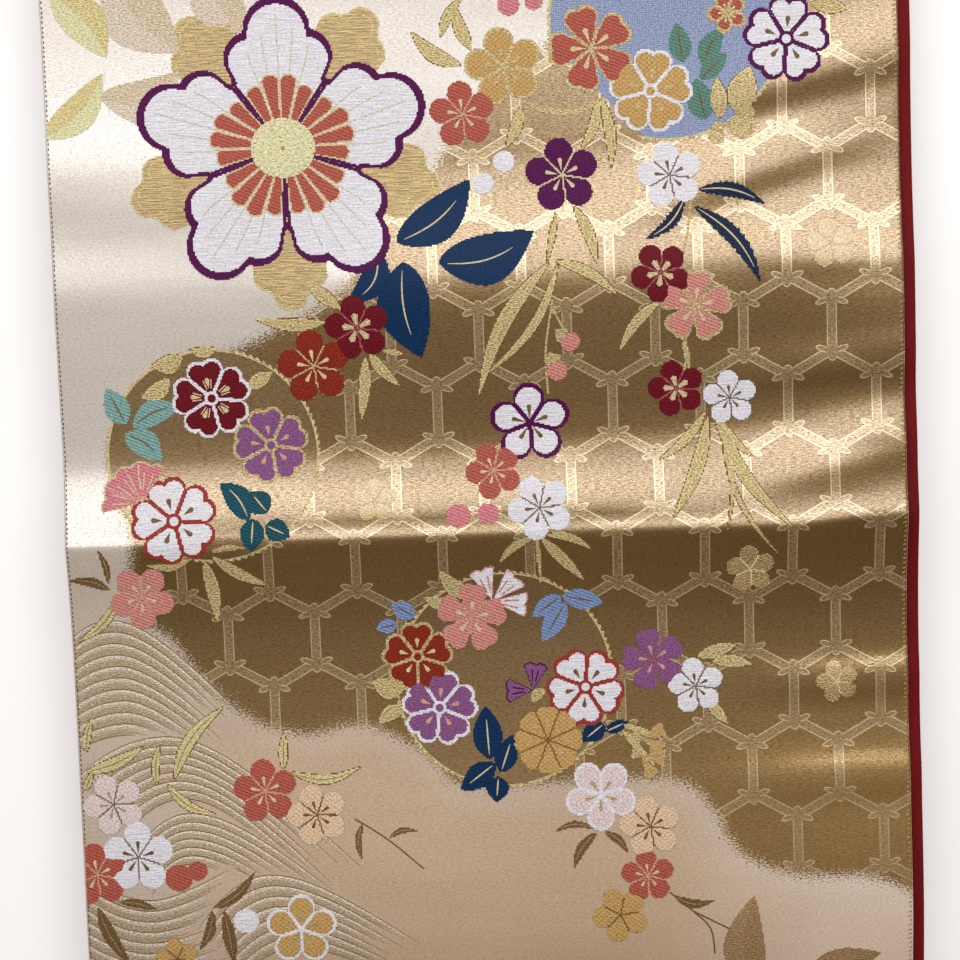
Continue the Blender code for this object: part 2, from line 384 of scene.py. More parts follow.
class Graph:
    """A material's nodes."""

    def __init__(self, name: str) -> None:
        """Starts a material with one Principled shader.

        Args:
            name: The material's name.
        """
        self.material = bpy.data.materials.new(name)
        self.material.use_nodes = True
        self.nodes = self.material.node_tree.nodes
        self.links = self.material.node_tree.links
        self.shader = self.nodes["Principled BSDF"]

    def node(self, kind: str, settings: dict[str, object], sockets: dict[object, object]) -> bpy.types.Node:
        """Adds a node.

        Args:
            kind: The node's type.
            settings: Its own settings, set first.
            sockets: The value or link of each socket, by name or number.

        Returns:
            The node.
        """
        made = self.nodes.new(kind)
        for key, value in settings.items():
            setattr(made, key, value)
        for key, value in sockets.items():
            self.feed(made.inputs[key], value)
        return made

    def feed(self, socket: bpy.types.NodeSocket, value: object) -> None:
        """Gives a socket a value or a link.

        Args:
            socket: The socket.
            value: A number, a colour, or a varying one.
        """
        if isinstance(value, (Value, Tint)):
            self.links.new(value.socket, socket)
        elif isinstance(value, bpy.types.NodeSocket):
            self.links.new(value, socket)
        elif isinstance(value, tuple) and len(value) == 3 and len(socket.default_value) == 4:
            socket.default_value = (*value, 1.0)
        else:
            socket.default_value = value

    def place(self) -> tuple[Value, Value]:
        """Gives the place on the cloth, across and along it, in millimetres.

        Returns:
            The two coordinates.
        """
        uv = self.node("ShaderNodeUVMap", {"uv_map": "cloth"}, {})
        parts = self.node("ShaderNodeSeparateXYZ", {}, {0: uv.outputs[0]})
        return Value(self, parts.outputs[0]) * 1000.0, Value(self, parts.outputs[1]) * 1000.0

    def noise(self, across: Number, along: Number, detail: float = 2.0, seed: float = 0.0) -> Value:
        """Gives smooth noise about 0.5 over two coordinates.

        Args:
            across: The first coordinate, in cells of the noise.
            along: The second one.
            detail: How many finer layers it has.
            seed: A third coordinate that picks another pattern.

        Returns:
            The noise.
        """
        place = self.node("ShaderNodeCombineXYZ", {}, {0: across, 1: along, 2: seed})
        sockets = {"Vector": place.outputs[0], "Scale": 1.0, "Detail": detail}
        return Value(self, self.node("ShaderNodeTexNoise", {}, sockets).outputs["Fac"])

    def flat(self, colour: Colour) -> Tint:
        """Starts a colour from a plain one."""
        return Tint(self, self.node("ShaderNodeMix", {"data_type": "RGBA"}, {0: 0.0, 6: colour}).outputs[2])

    def attribute(self, name: str) -> Value:
        """Gives a number kept at the mesh's points."""
        return Value(self, self.node("ShaderNodeAttribute", {"attribute_name": name}, {}).outputs["Fac"])

    def coat(self, ior: float, roughness: float, weight: Number) -> None:
        """Lays a clear gloss over the thread.

        Args:
            ior: How strongly it shines.
            roughness: How soft its shine is.
            weight: How much of it there is.
        """
        self.feed(self.shader.inputs["Coat Weight"], weight)
        self.shader.inputs["Coat IOR"].default_value = ior
        self.shader.inputs["Coat Roughness"].default_value = roughness

    def finish(
        self, colour: Tint, roughness: Number, metallic: Number, relief: Value, depth: float,
        sheen: float = 0.0,
    ) -> bpy.types.Material:
        """Joins the results to the shader.

        Args:
            colour: The base colour.
            roughness: The roughness.
            metallic: The share of metal thread.
            relief: The height of the weave, from 0 to 1.
            depth: What a height of 1 is, in millimetres.
            sheen: The constant soft sheen of the nap.

        Returns:
            The material.
        """
        bump = self.node("ShaderNodeBump", {}, {"Strength": 1.0, "Distance": depth * MM, "Height": relief})
        sockets = {
            "Base Color": colour, "Roughness": roughness, "Metallic": metallic, "Normal": bump.outputs[0],
            "Specular IOR Level": 0.14, "Sheen Weight": sheen, "Sheen Roughness": 0.4,
        }
        for name, value in sockets.items():
            self.feed(self.shader.inputs[name], value)
        return self.material


@dataclass(frozen=True)
class Lattice:
    """The tortoiseshell lattice: six-sided cells with bracketed joints."""

    width: float = 32.19
    row: float = 27.4
    bar_x: float = 109.97
    bar_y: float = 135.1
    half_bar: float = 1.85
    line: float = 0.42

    def joint(self, across: Value, along: Value) -> tuple[Value, Value]:
        """Draws the ornament at a joint: a knob, a round middle and two side lobes that lean to the bar.

        Args:
            across: The distance from the upright bar's line.
            along: The distance past the bar's end, away from it.

        Returns:
            Where its outline is, and where the whole of it is.
        """
        off, on = across - 3.5, along + 0.4
        u, v = (off * 0.93 - on * 0.36) / 2.3, off * 0.36 + on * 0.93
        lobe = (u * u + v * v).root()
        knob = (across * across + (along - 2.7) * (along - 2.7)).root() / 1.3
        middle = (across * across + (along - 0.6) * (along - 0.6)).root() / 2.4
        shape = lobe.least(knob)
        outline = abs(shape - 1.0).under(0.16, 0.14) * (1.0 - middle.under(1.0, 0.2))
        return outline, middle.least(shape).under(1.05, 0.2)

    def draw(self, graph: Graph, x: Value, y: Value) -> tuple[Value, Value]:
        """Draws the lattice.

        Args:
            graph: The material's nodes.
            x: The place across the cloth.
            y: The place along it.

        Returns:
            Where its bright threads are, and where its whole bars are.
        """
        half, side = self.width / 2, self.width / math.sqrt(3.0)
        rows = 3.0 * side
        across = x - self.bar_x
        along = (y - self.bar_y) * (1.5 * side / self.row)
        ax, ay = across.wrap(self.width) - half, (along + rows / 2).wrap(rows) - rows / 2
        bx, by = (across + half).wrap(self.width) - half, along.wrap(rows) - rows / 2
        nearer = (ax * ax + ay * ay).under(bx * bx + by * by, 0.001)
        px = abs(bx + (ax - bx) * nearer)
        py = abs(by + (ay - by) * nearer)
        inside = half - px.most(px * 0.5 + py * (math.sqrt(3.0) / 2))
        lines = abs(inside - (self.half_bar - self.line / 2)).under(self.line / 2, 0.2)
        bars = inside.under(self.half_bar, 0.3)
        lower_line, lower = self.joint(half - px, py - side / 2)
        upper_line, upper = self.joint(px, side - py)
        joints = lower.most(upper)
        return (lines * (1.0 - joints)).most(lower_line.most(upper_line)), bars.most(joints)


@dataclass(frozen=True)
class Ground:
    """The brocade's ground: gold satin with the lattice, and paler silver satin round it.

    Each satin is bright foil thread over a darker silk warp that shows between the foil.
    """

    gold: Colour = (0.475, 0.332, 0.118)
    gold_warp: Colour = (0.125, 0.03, 0.005)
    pale: Colour = (0.84, 0.785, 0.72)
    pale_warp: Colour = (0.74, 0.65, 0.56)
    beige: Colour = (0.95, 0.73, 0.52)
    beige_warp: Colour = (0.58, 0.385, 0.235)
    thread: Colour = (0.88, 0.70, 0.40)

    def material(self, name: str, lattice: bool = True) -> bpy.types.Material:
        """Makes the ground's material.

        Args:
            name: The material's name.
            lattice: Whether the lattice is drawn.

        Returns:
            The material.
        """
        graph = Graph(name)
        x, y = graph.place()
        wefts = graph.noise(x * 0.5, y * 3.2, 3.0)
        grain = graph.noise(x * 2.2, y * 2.6, 1.0, 5.0)
        cloudy = graph.noise(x * 0.02, y * 0.05, 2.0, 9.0)
        speck = graph.noise(x * 0.9, y * 2.1, 1.0, 3.0)
        # Where the gold is, with a ragged edge, and where the pale satin turns beige.
        zone = graph.attribute("satin") + (grain - 0.5) * 14.0 + (speck - 0.5) * 12.0
        gold = zone.under(0.0, 0.5)
        lower = y.under(-20.0, 70.0)
        foil = (wefts * 0.6 + grain * 0.4).under(0.515, 0.34)
        lower = lower * (1.0 - zone.under(7.0, 9.0) * 0.35) * (1.0 - x.under(-112.0, 40.0) * 0.5)
        lower = lower * (0.6 + x.under(90.0, 60.0) * 0.4)
        # The foil, and the warp that shows between it.
        light = graph.flat(self.pale).mixed(self.beige, lower).mixed(self.gold, gold)
        dark = graph.flat(self.pale_warp).mixed(self.beige_warp, lower).mixed(self.gold_warp, gold)
        # Painted light: toward the near end the ground's colour is made lighter, by up to 40% on the gold and
        # up to 30% more toward the right, standing in for the light falling there.
        nearer = y.under(-85.0, 70.0) * (gold * 0.4 + (1.0 - x.under(95.0, 70.0)) * 0.3)
        colour = dark.mixed(light, foil).scaled((0.4 + cloudy * 0.2 + speck) * (1.0 + nearer))
        metal = gold * 0.26 + foil * (0.28 + gold * 0.34)
        rough = 0.34 + (grain - 0.5) * 0.12
        # Soft folds and puckers under the weave.
        folds = graph.noise(x * 0.028, y * 0.13, 1.5, 7.0)
        puckers = graph.noise(x * 0.06, y * 0.42, 2.0, 11.0)
        relief = wefts * 0.6 + grain * 0.4 + folds * 3.8 + puckers * 1.1
        gloss = (foil * 0.6 + speck * 1.6 - 0.45) * (1.0 - gold * 0.36)
        if lattice:
            lines, bars = Lattice().draw(graph, x, y)
            lit = (lines * speck.under(0.56, 0.14) * 0.95 + bars * (speck * 1.2 - 0.32)).least(1.0) * gold
            colour = colour.mixed(graph.flat(self.thread).scaled(0.7 + speck * 0.6), lit)
            metal = metal * (1.0 - lit * 0.15)
            relief = relief + lit * 1.2
            gloss = gloss + lit * 0.35
        graph.coat(2.7, 0.24, gloss)
        return graph.finish(colour, rough, metal, relief, 0.03)


@dataclass(frozen=True)
class Woven:
    """Builds the materials of the silks."""

    silk: Silk

    def ribs(self, graph: Graph, x: Value, y: Value, grain: Value) -> Value:
        """Draws the silk's own weave.

        Args:
            graph: The material's nodes.
            x: The place across the cloth.
            y: The place along it.
            grain: Fine noise that breaks the weave up.

        Returns:
            The weave's height, from 0 to 1.
        """
        form = self.silk.form
        if form is Form.FLOATS:
            return graph.noise(x * 0.16, y * 1.7, 3.0, 2.0).under(0.5, 0.3)
        if form is Form.TWILL:
            return ((y * 0.92 + x * 0.38 + grain * 0.5) * (math.tau / 1.15)).sine() * 0.5 + 0.5
        if form is Form.RIBS:
            return (x * (math.tau / 0.95)).sine() * 0.3 + (y * (math.tau / 0.8)).sine() * 0.2 + 0.5
        if form is Form.SCALES:
            one = ((x * 0.8 + y) * (math.tau / 3.4) + grain).sine()
            two = ((x * 0.8 - y) * (math.tau / 3.4) + grain).sine()
            return abs(one).least(abs(two)).under(0.28, 0.3) * -0.8 + 1.0
        if form is Form.METAL:
            return graph.noise(x, y * 2.6, 2.0, 4.0).under(0.5, 0.25)
        if form is Form.HATCH:
            one, two = ((x * 0.9 + y * side) * (math.tau / 1.5) for side in (1.0, -1.0))
            return one.sine() * two.sine() * 0.5 + 0.5
        return graph.noise(x * 1.3, y * 2.2, 1.0, 3.0).under(0.5, 0.4)

    def material(self, name: str) -> bpy.types.Material:
        """Makes the silk's material.

        Args:
            name: The material's name.

        Returns:
            The material.
        """
        graph = Graph(name)
        x, y = graph.place()
        grain = graph.noise(x * 1.6, y * 2.8, 2.0, 7.0)
        ribs = self.ribs(graph, x, y, grain)
        speck = graph.noise(x * 1.1, y * 1.9, 1.0, 5.0) - 0.53
        speckled, depth = (0.8, 0.2) if self.silk.form is Form.FLOATS else (1.4, 0.14)
        shade = self.silk.shade + (1.0 - self.silk.shade) * 2.0 * (ribs * 0.7 + grain * 0.3 - 0.15)
        colour = graph.flat(self.silk.colour).scaled(shade + speck * speckled)
        rough = self.silk.roughness + (grain - 0.5) * 0.15
        relief = ribs * 0.6 + speck * 0.5
        if self.silk.metallic > 0.5:
            graph.coat(2.4, 0.25, 0.5)
        return graph.finish(colour, rough, self.silk.metallic, relief, depth, 0.05)


def srgb(red: int, green: int, blue: int) -> Colour:
    """Turns a colour in everyday 0 to 255 steps into linear light.

    Args:
        red: The red step.
        green: The green step.
        blue: The blue step.

    Returns:
        The linear colour.
    """

    def linear(step: int) -> float:
        """Turns one channel into linear light."""
        share = step / 255
        return share / 12.92 if share <= 0.04045 else ((share + 0.055) / 1.055) ** 2.4

    return linear(red), linear(green), linear(blue)


# Each silk by its weave: its colour in 0 to 255 steps, shade, roughness and share of metal.
SILK_ROWS = {
    Form.FLOATS: {
        "white": ((246, 245, 252), 0.85, 0.45), "sepal": ((212, 186, 136), 0.7, 0.45, 0.3),
    },
    Form.TWILL: {
        "coral": ((194, 100, 84), 0.72), "pink": ((228, 152, 142), 0.7), "rose": ((230, 140, 150), 0.72),
        "dark_navy": ((28, 46, 76), 0.6, 0.45), "light_blue": ((134, 160, 206), 0.72),
        "teal": ((140, 184, 178), 0.68), "dark_teal": ((24, 84, 100), 0.72),
        "green": ((102, 148, 132), 0.74),
    },
    Form.PLAIN: {
        "rust": ((172, 62, 50), 0.74), "crimson": ((118, 14, 32), 0.7), "orange": ((150, 48, 26), 0.7),
        "purple": ((92, 6, 82), 0.75, 0.45), "lilac": ((150, 94, 146), 0.72),
        "knot": ((238, 230, 190), 0.85, 0.45), "vein": ((226, 222, 196), 0.8),
        "cream": ((232, 214, 170), 0.85), "rose_seam": ((176, 96, 96), 0.7, 0.6),
        "coral_seam": ((226, 176, 150), 0.7, 0.6), "seam": ((140, 122, 112), 0.7, 0.6),
        "brown_seam": ((146, 104, 56), 0.7, 0.6), "groove": ((150, 122, 90), 0.8, 0.55),
        "selvage": ((190, 158, 112), 0.78), "dark_thread": ((90, 76, 48), 0.8),
    },
    Form.METAL: {
        "straw": ((206, 186, 138), 0.7, 0.5, 0.2), "gold": ((222, 200, 146), 0.5, 0.4, 0.3),
        "gold_line": ((226, 210, 152), 0.8, 0.42, 0.35), "yellow_gold": ((238, 224, 168), 0.72, 0.45, 0.3),
        "pale_yellow": ((236, 232, 184), 0.9, 0.5, 0.2), "tan": ((232, 216, 196), 0.86, 0.5, 0.3),
        "olive": ((186, 152, 108), 0.86, 0.42, 0.4), "olive_light": ((192, 158, 114), 0.86, 0.42, 0.4),
        # The darker water silk on this line is painted shade, laid on the near half of each padded water
        # band, the side turned from the light.
        "wave_shade": ((204, 180, 148), 0.84, 0.45, 0.35), "ghost": ((216, 186, 130), 0.75, 0.4, 0.6),
        "brown": ((138, 108, 70), 0.6, 0.5, 0.3), "tan_light": ((224, 206, 176), 0.84, 0.45, 0.3),
        "wave": ((232, 217, 194), 0.82, 0.4, 0.35),
    },
    Form.SCALES: {
        "blush": ((240, 220, 218), 0.9), "peach": ((238, 206, 172), 0.82),
        "ochre": ((208, 168, 104), 0.72, 0.45),
    },
    Form.RIBS: {
        "navy": ((10, 52, 94), 0.72, 0.45),
    },
    Form.HATCH: {
        "sky_blue": ((164, 177, 212), 0.66),
    },
}
SILKS: dict[str, Silk] = {
    name: Silk(srgb(*colour), form, *rest)
    for form, rows in SILK_ROWS.items()
    for name, (colour, *rest) in rows.items()
}


# ------------------------------------------------------------------------------------ the woven pattern


class Flower(Enum):
    """A blossom's shape: its petals, and the circles (out, aside, radius) that bound one petal."""

    PLUM = (5, ((0.62, 0.0, 0.38), (0.36, 0.0, 0.25)))
    CHERRY = (5, ((0.67, 0.17, 0.265), (0.67, -0.17, 0.265), (0.44, 0.0, 0.28)))
    NOTCHED = (5, ((0.7, 0.13, 0.25), (0.7, -0.13, 0.25), (0.42, 0.0, 0.27)))
    DAISY = (8, ((0.71, 0.09, 0.22), (0.71, -0.09, 0.22), (0.5, 0.0, 0.2)))
    GREAT = (5, (
        (0.775, 0.0, 0.225), (0.6, 0.185, 0.178), (0.6, -0.185, 0.178),
        (0.44, 0.13, 0.185), (0.44, -0.13, 0.185),
    ))
    SEPAL = (5, ((0.93, 0.0, 0.12), (0.8, 0.13, 0.12), (0.8, -0.13, 0.12), (0.6, 0.0, 0.25)))


class Level(IntEnum):
    """How many layers of weft lie under a shape."""

    MEDALLION = 0
    RIM = 1
    LEAF = 2
    SEAM = 3
    PETAL = 4
    GREAT_EDGE = 5
    GREAT_PETAL = 6
    STAMEN = 7
    MIDDLE = 8
    VEIN = 9
    FLORET_EDGE = 10
    FLORET = 11
    DISC = 13
    KNOT = 16
    HEART = 18


class LeafShape(Enum):
    """A leaf's kind."""

    BROAD = "pointed oval with a vein"
    SERRATED = "slender, with a toothed edge and a pale vein"
    FROND = "slender, in two strands"
    GHOST = "broad and pale, tone on tone"


class Placed:
    """Something that lies at a spot on the cloth."""

    x: float
    y: float

    @property
    def spot(self) -> Point:
        """Gives the spot."""
        return self.x, self.y


@dataclass(frozen=True)
class Blossom(Placed):
    """A blossom: its middle, size, first petal's direction in degrees, silk and edging."""

    flower: Flower
    x: float
    y: float
    radius: float
    turn: float
    silk: str
    edge: str = "none"


@dataclass(frozen=True)
class Fan(Placed):
    """A blossom seen from the side: its foot, its petals' length and directions, its silk and edging."""

    x: float
    y: float
    radius: float
    turns: tuple[float, ...]
    silk: str
    edge: str


@dataclass(frozen=True)
class Bud(Placed):
    """A round bud. stem is where its stalk leaves it, in degrees, where it has a calyx."""

    x: float
    y: float
    radius: float
    silk: str
    stem: float = -1.0


@dataclass(frozen=True)
class Leaf(Placed):
    """A leaf from its foot to its tip. bend is how far it bows, as a share of its length."""

    shape: LeafShape
    x: float
    y: float
    tip_x: float
    tip_y: float
    width: float
    bend: float
    silk: str


@dataclass(frozen=True)
class Swell:
    """A water line: its crest, and how far it runs and falls on the left and on the right of it.

    A fall below zero makes a trough.
    """

    x: float
    y: float
    left: float
    left_fall: float
    right: float
    right_fall: float

    def toward(self, other: "Swell", share: float) -> "Swell":
        """Gives the line that lies a share of the way to another one."""
        return Swell(*(a + (b - a) * share for a, b in zip(astuple(self), astuple(other))))

    def line(self, count: int) -> list[Point]:
        """Draws the line: a bow on the left, and on the right a bow that straightens out.

        Args:
            count: How many steps it has.

        Returns:
            The line's points.
        """
        points = []
        for i in range(count + 1):
            off = (self.left + self.right) * i / count - self.left
            if off < 0:
                fall = self.left_fall * (off / self.left) ** 2
            else:
                bow = math.hypot(1.0, STRAIGHTENING * off / self.right) - 1.0
                fall = self.right_fall * bow / (math.hypot(1.0, STRAIGHTENING) - 1.0)
            points.append((self.x + off, self.y - fall))
        return points


@dataclass(frozen=True)
class Wave:
    """A family of water lines between a first and a last one, counted with both."""

    first: Swell
    last: Swell
    lines: int


PLUM, CHERRY, NOTCHED, DAISY, *_ = Flower
BLOSSOMS = [
    Blossom(CHERRY, -101.5, 33.5, 15.5, 102, "crimson", "white"),
    Blossom(CHERRY, -80.5, 15.5, 15, 99, "lilac", "gold"),
    Blossom(CHERRY, -117, -11, 17, 104, "white", "rust"), Blossom(PLUM, -130.5, -39, 12, 126, "pink"),
    Blossom(PLUM, -47, 57.5, 12, 100, "crimson"), Blossom(PLUM, -63.5, 44, 13.5, 98, "orange"),
    Blossom(PLUM, 9.5, 150, 14.5, 100, "ochre", "gold"), Blossom(PLUM, -6, 133.5, 12, 96, "coral"),
    Blossom(NOTCHED, 41.5, 155.5, 16.5, 108, "coral", "gold"),
    Blossom(CHERRY, 62.5, 139.5, 16, 84, "ochre", "white"),
    Blossom(CHERRY, 112, 156.5, 16.5, 84, "white", "purple"),
    Blossom(PLUM, 91, 166.5, 7.5, 110, "coral", "gold"), Blossom(PLUM, 29.5, 110.5, 13.5, 97, "purple"),
    Blossom(PLUM, 68.5, 109, 12, 100, "white"), Blossom(PLUM, 64, 74, 11, 120, "crimson"),
    Blossom(NOTCHED, 76.5, 61.5, 14, 84, "pink", "gold"), Blossom(PLUM, 69, 31.5, 10.5, 104, "crimson"),
    Blossom(PLUM, 88.5, 27.5, 10, 96, "white"), Blossom(PLUM, 15, 20.5, 15, 92, "white", "purple"),
    Blossom(PLUM, 1, 3.5, 10.5, 112, "coral"), Blossom(PLUM, 17.5, -10.5, 12, 113, "white"),
    Blossom(NOTCHED, -9, -51, 13.5, 84, "pink"), Blossom(CHERRY, -29.5, -65, 14, 90, "orange", "gold"),
    Blossom(CHERRY, -22, -84.5, 15, 84, "lilac", "white"),
    Blossom(CHERRY, 32.5, -78.5, 15.5, 121, "white", "rust"), Blossom(DAISY, 18, -98, 13.5, 90, "ochre"),
    Blossom(NOTCHED, 58, -69, 12, 104, "lilac"), Blossom(PLUM, 73.5, -79.5, 10.5, 98, "white"),
    Blossom(PLUM, 37, -119, 13.5, 124, "blush", "white"), Blossom(PLUM, 55, -131.5, 11.5, 100, "peach"),
    Blossom(PLUM, 53.5, -150, 10, 94, "coral"), Blossom(PLUM, 43, -164.5, 10.5, 115, "ochre"),
    Blossom(PLUM, -88, -113.5, 12, 96, "coral"), Blossom(PLUM, -69, -123, 11.5, 106, "peach"),
    Blossom(PLUM, -145, -117, 11.5, 112, "blush"), Blossom(PLUM, -136.5, -137, 13.5, 90, "white"),
    Blossom(PLUM, -152.5, -143.5, 12, 97, "coral"), Blossom(PLUM, -76.5, -166, 13.5, 88, "ochre", "white"),
    Blossom(PLUM, -123.5, -176, 8, 100, "ochre"), Blossom(PLUM, 126, 82.5, 9, 100, "ghost"),
    Blossom(PLUM, 94.5, -36, 9, 96, "ghost"), Blossom(PLUM, 126, -79.5, 8, 104, "ghost"),
    Blossom(PLUM, -43, -6, 8, 90, "ghost"),
]
FANS = [
    Fan(-128.5, -4, 16, (172, 136, 106, 76), "rose", "cream"),
    Fan(-1, -45, 14, (108, 44, -8), "white", "pink"), Fan(53, -98.5, 9.5, (22, -32), "ochre", "sepal"),
    Fan(52.5, -105, 9.5, (-8, -62), "ochre", "sepal"), Fan(13, -79, 11, (180, 82), "lilac", "purple"),
]
BUDS = [
    Bud(12, 172, 4, "rose"), Bud(21, 173, 3.25, "rose"), Bud(8.5, 116, 4, "white"),
    Bud(0.5, 108.5, 4, "white"), Bud(-12.5, -12.5, 4.5, "rose"), Bud(-1.5, -12, 4, "rose"),
    Bud(30.5, 50, 3.6, "pink", 140), Bud(25.5, 39.5, 3.8, "pink", 112), Bud(-121.5, -145, 5.25, "coral"),
    Bud(-114.5, -142.5, 3.75, "coral"), Bud(-97, -162, 4.75, "white"), Bud(95.5, 126, 4.75, "gold", 80),
    Bud(86, 122.5, 3, "gold", 80),
]
# Each group of leaves: its shape, its silk, and its rows of foot, tip, width and bend.
LEAVES = [
    (LeafShape.FROND, "gold", (
        (15.5, 135.5, 9.5, 121, 4, 0.05), (43.5, 137.5, 36.5, 119, 3.6, 0.08),
        (45, 137, 47.5, 112.5, 3.8, 0.05),
    )),
    (LeafShape.BROAD, "navy", (
        (-31.5, 88, -4, 110, 15.5, -0.1), (-16.5, 80, 18.5, 90.5, 18.5, -0.12),
        (-29.5, 81, -24, 46, 19.5, -0.08), (-39, 88, -51, 66, 11, 0.22),
    )),
    (LeafShape.BROAD, "teal", (
        (-133.5, 25, -140, 38.5, 9.25, 0), (-131, 24, -113, 31, 9.25, 0.1),
        (-134, 21.5, -121, 11, 10.25, 0.1),
    )),
    (LeafShape.BROAD, "dark_teal", (
        (-89.5, -11.5, -100, 2.5, 9.5, -0.1), (-82.5, -9, -89, -1, 9.25, 0), (-88, -11, -89, -23, 9.25, 0),
        (-83.5, -13.5, -74.5, -18, 8.5, 0),
    )),
    (LeafShape.BROAD, "light_blue", (
        (-30, -50, -38.5, -44.5, 6.75, 0), (-36.5, -52.5, -44.5, -54, 5.5, 0),
        (24.5, -44, 13.5, -51.5, 7, 0), (25, -44, 40, -47, 7.5, 0), (26, -46.5, 17, -61, 8, 0),
    )),
    (LeafShape.BROAD, "navy", (
        (-4, -104.5, -5, -84.5, 11, 0), (0, -109.5, 5, -95.5, 8.5, 0), (-2, -106, -15, -115.5, 9.25, 0),
        (-1, -111, -2, -120.5, 8.5, 0), (39, -92.5, 30.5, -99, 7.5, 0), (39.5, -95.5, 48, -92, 4.5, 0),
    )),
    (LeafShape.BROAD, "green", (
        (74.5, 149.5, 72.5, 163.5, 8, 0), (81.5, 148, 89, 161.5, 8, 0.05),
        (80.5, 143, 90.5, 152.5, 6.75, 0), (82, 128.5, 79, 143.5, 10, 0),
    )),
    (LeafShape.SERRATED, "dark_navy", (
        (74, 101.5, 58.5, 86, 3.75, 0.12), (78.5, 103.5, 103, 97.5, 4.75, 0.1),
        (77, 97.5, 100.5, 69, 5.5, 0.1),
    )),
    (LeafShape.FROND, "gold", (
        (-106.5, -26, -103, -49.5, 4.75, 0.03), (-103.5, -24.5, -84, -36, 4, -0.05),
        (-111.5, -25, -128, -27, 3, 0.12), (-104, -22.5, -91, -21.5, 2.25, 0.05),
        (-44.5, 47, -47, 23.5, 4, 0.02), (-43, 48.5, -32.5, 36, 4, -0.05), (-38, 49, -30.5, 47.5, 2.25, 0),
        (-63.5, 73.5, -52.5, 64.5, 4.75, 0), (-58.5, 60, -84, 62, 4.5, 0.06),
        (-6, 151, -23.5, 163.5, 5.25, 0.1), (-13, 161.5, -4.5, 175.5, 3.25, 0.08),
        (-2, 156.5, -8, 173, 4.5, 0.05), (87.5, 129, 86.5, 143.5, 6, 0), (93, 131, 98.5, 147, 10.25, 0),
        (121.5, 169, 134.5, 166.5, 5.25, 0), (27, 97, 23, 79, 2.25, 0), (23.5, 79, -3.5, 31, 5.25, -0.08),
        (27, 79, -0.5, 39, 3, 0.1), (33.5, 99, 41, 78, 4, 0.06), (26, 79.5, 48, 66.5, 3.75, 0.08),
        (79.5, 22.5, 62, 5.5, 3.25, 0.08), (80.5, 21, 66.5, -15.5, 4.75, 0.06),
        (82, 22, 86, -21, 1.75, 0.1), (82.5, 22, 96.5, 5.5, 3.25, -0.06),
        (83.5, 22, 110, -20.5, 4.5, -0.08), (85.5, 15.5, 105, -31, 1.75, -0.1),
        (14.5, -21.5, 2, -30.5, 3, -0.1), (17.5, -21.5, 33, -38, 4, 0), (19.5, -20.5, 36, -26.5, 3, 0.1),
        (16, -19.5, 17, -37.5, 1.5, 0), (64, 64, 48.5, 46, 3.75, -0.08), (72, 50, 74, 37.5, 2.25, 0),
        (-111.5, 49, -123, 46, 6.75, 0.1), (-99, 51.5, -109, 51.5, 4, 0.1),
        (-116.5, 41, -127.5, 34.5, 6, 0.1), (-88, 37, -79, 42.5, 5.25, 0),
        (-7.5, -43, -20.5, -32.5, 6, 0.12), (-16, -45.5, -26.5, -42.5, 4.5, 0.1),
        (-35.5, -78, -46.5, -73.5, 7.5, 0.08), (-35, -84, -45, -89.5, 5.5, -0.08),
        (74.5, -68.5, 89, -64.5, 4.75, 0), (80, -70.5, 94.5, -72, 4.5, 0.05), (78, -85.5, 85, -94, 4, 0),
        (45, -92.5, 60.5, -99, 2.5, 0), (45.5, -95, 57.5, -109, 2.5, 0),
    )),
    (LeafShape.FROND, "brown", (
        (34, -131.5, 19, -132.5, 2.5, -0.15), (35, -133, 26, -146.5, 3.75, -0.1),
        (38, -133, 46.5, -141, 3.25, 0.1), (-52.5, -127, -53, -140, 2.5, -0.1),
        (-42.5, -132.5, -31.5, -130.5, 2.25, 0.15), (63, -158, 78.5, -160, 3.5, -0.15),
    )),
    (LeafShape.FROND, "yellow_gold", (
        (-122, -108, -102.5, -81.5, 5.25, 0.1), (-124.5, -110, -107, -121.5, 4, -0.12),
        (-128.5, -110, -127, -95, 3.25, 0.06), (-154.5, -97, -151.5, -84, 3.25, 0.05),
        (-155, -104.5, -133, -95.5, 5.25, -0.06), (-155.5, -111.5, -152.5, -104.5, 3, 0),
        (-81, -105.5, -80.5, -92, 3.75, 0), (-78, -107, -52, -105.5, 4, -0.14),
    )),
    (LeafShape.FROND, "brown", (
        (-109.5, -157, -93, -143.5, 4, -0.1), (-144.5, -154, -130, -157, 3.25, 0.05),
        (-153, -156, -141.5, -178, 5.25, -0.05), (-109.5, -157.5, -115, -172.5, 4, 0.1),
        (-105, -158, -102, -179, 4.75, 0), (-142.5, -33.5, -145.5, -20.5, 2.5, -0.08),
        (-142, -36, -157, -32, 3.75, -0.1),
    )),
    (LeafShape.FROND, "yellow_gold", (
        (-139.5, -39.5, -155, -55, 4, 0.1),
    )),
    (LeafShape.GHOST, "pale_yellow", (
        (-152.5, 180.5, -134, 158, 15.5, 0.1), (-158, 130, -135.5, 152.5, 12.5, -0.1),
    )),
    (LeafShape.GHOST, "tan", (
        (-131.5, 189, -107.5, 159, 23, -0.1), (-137, 143.5, -107.5, 152, 16.25, -0.2),
        (-100, 188, -84.5, 162.5, 18.5, 0),
    )),
    (LeafShape.GHOST, "olive", (
        (94, -197, 93, -159, 15.5, 0.12), (110, -197.5, 140.5, -183, 12.5, 0.1),
    )),
]
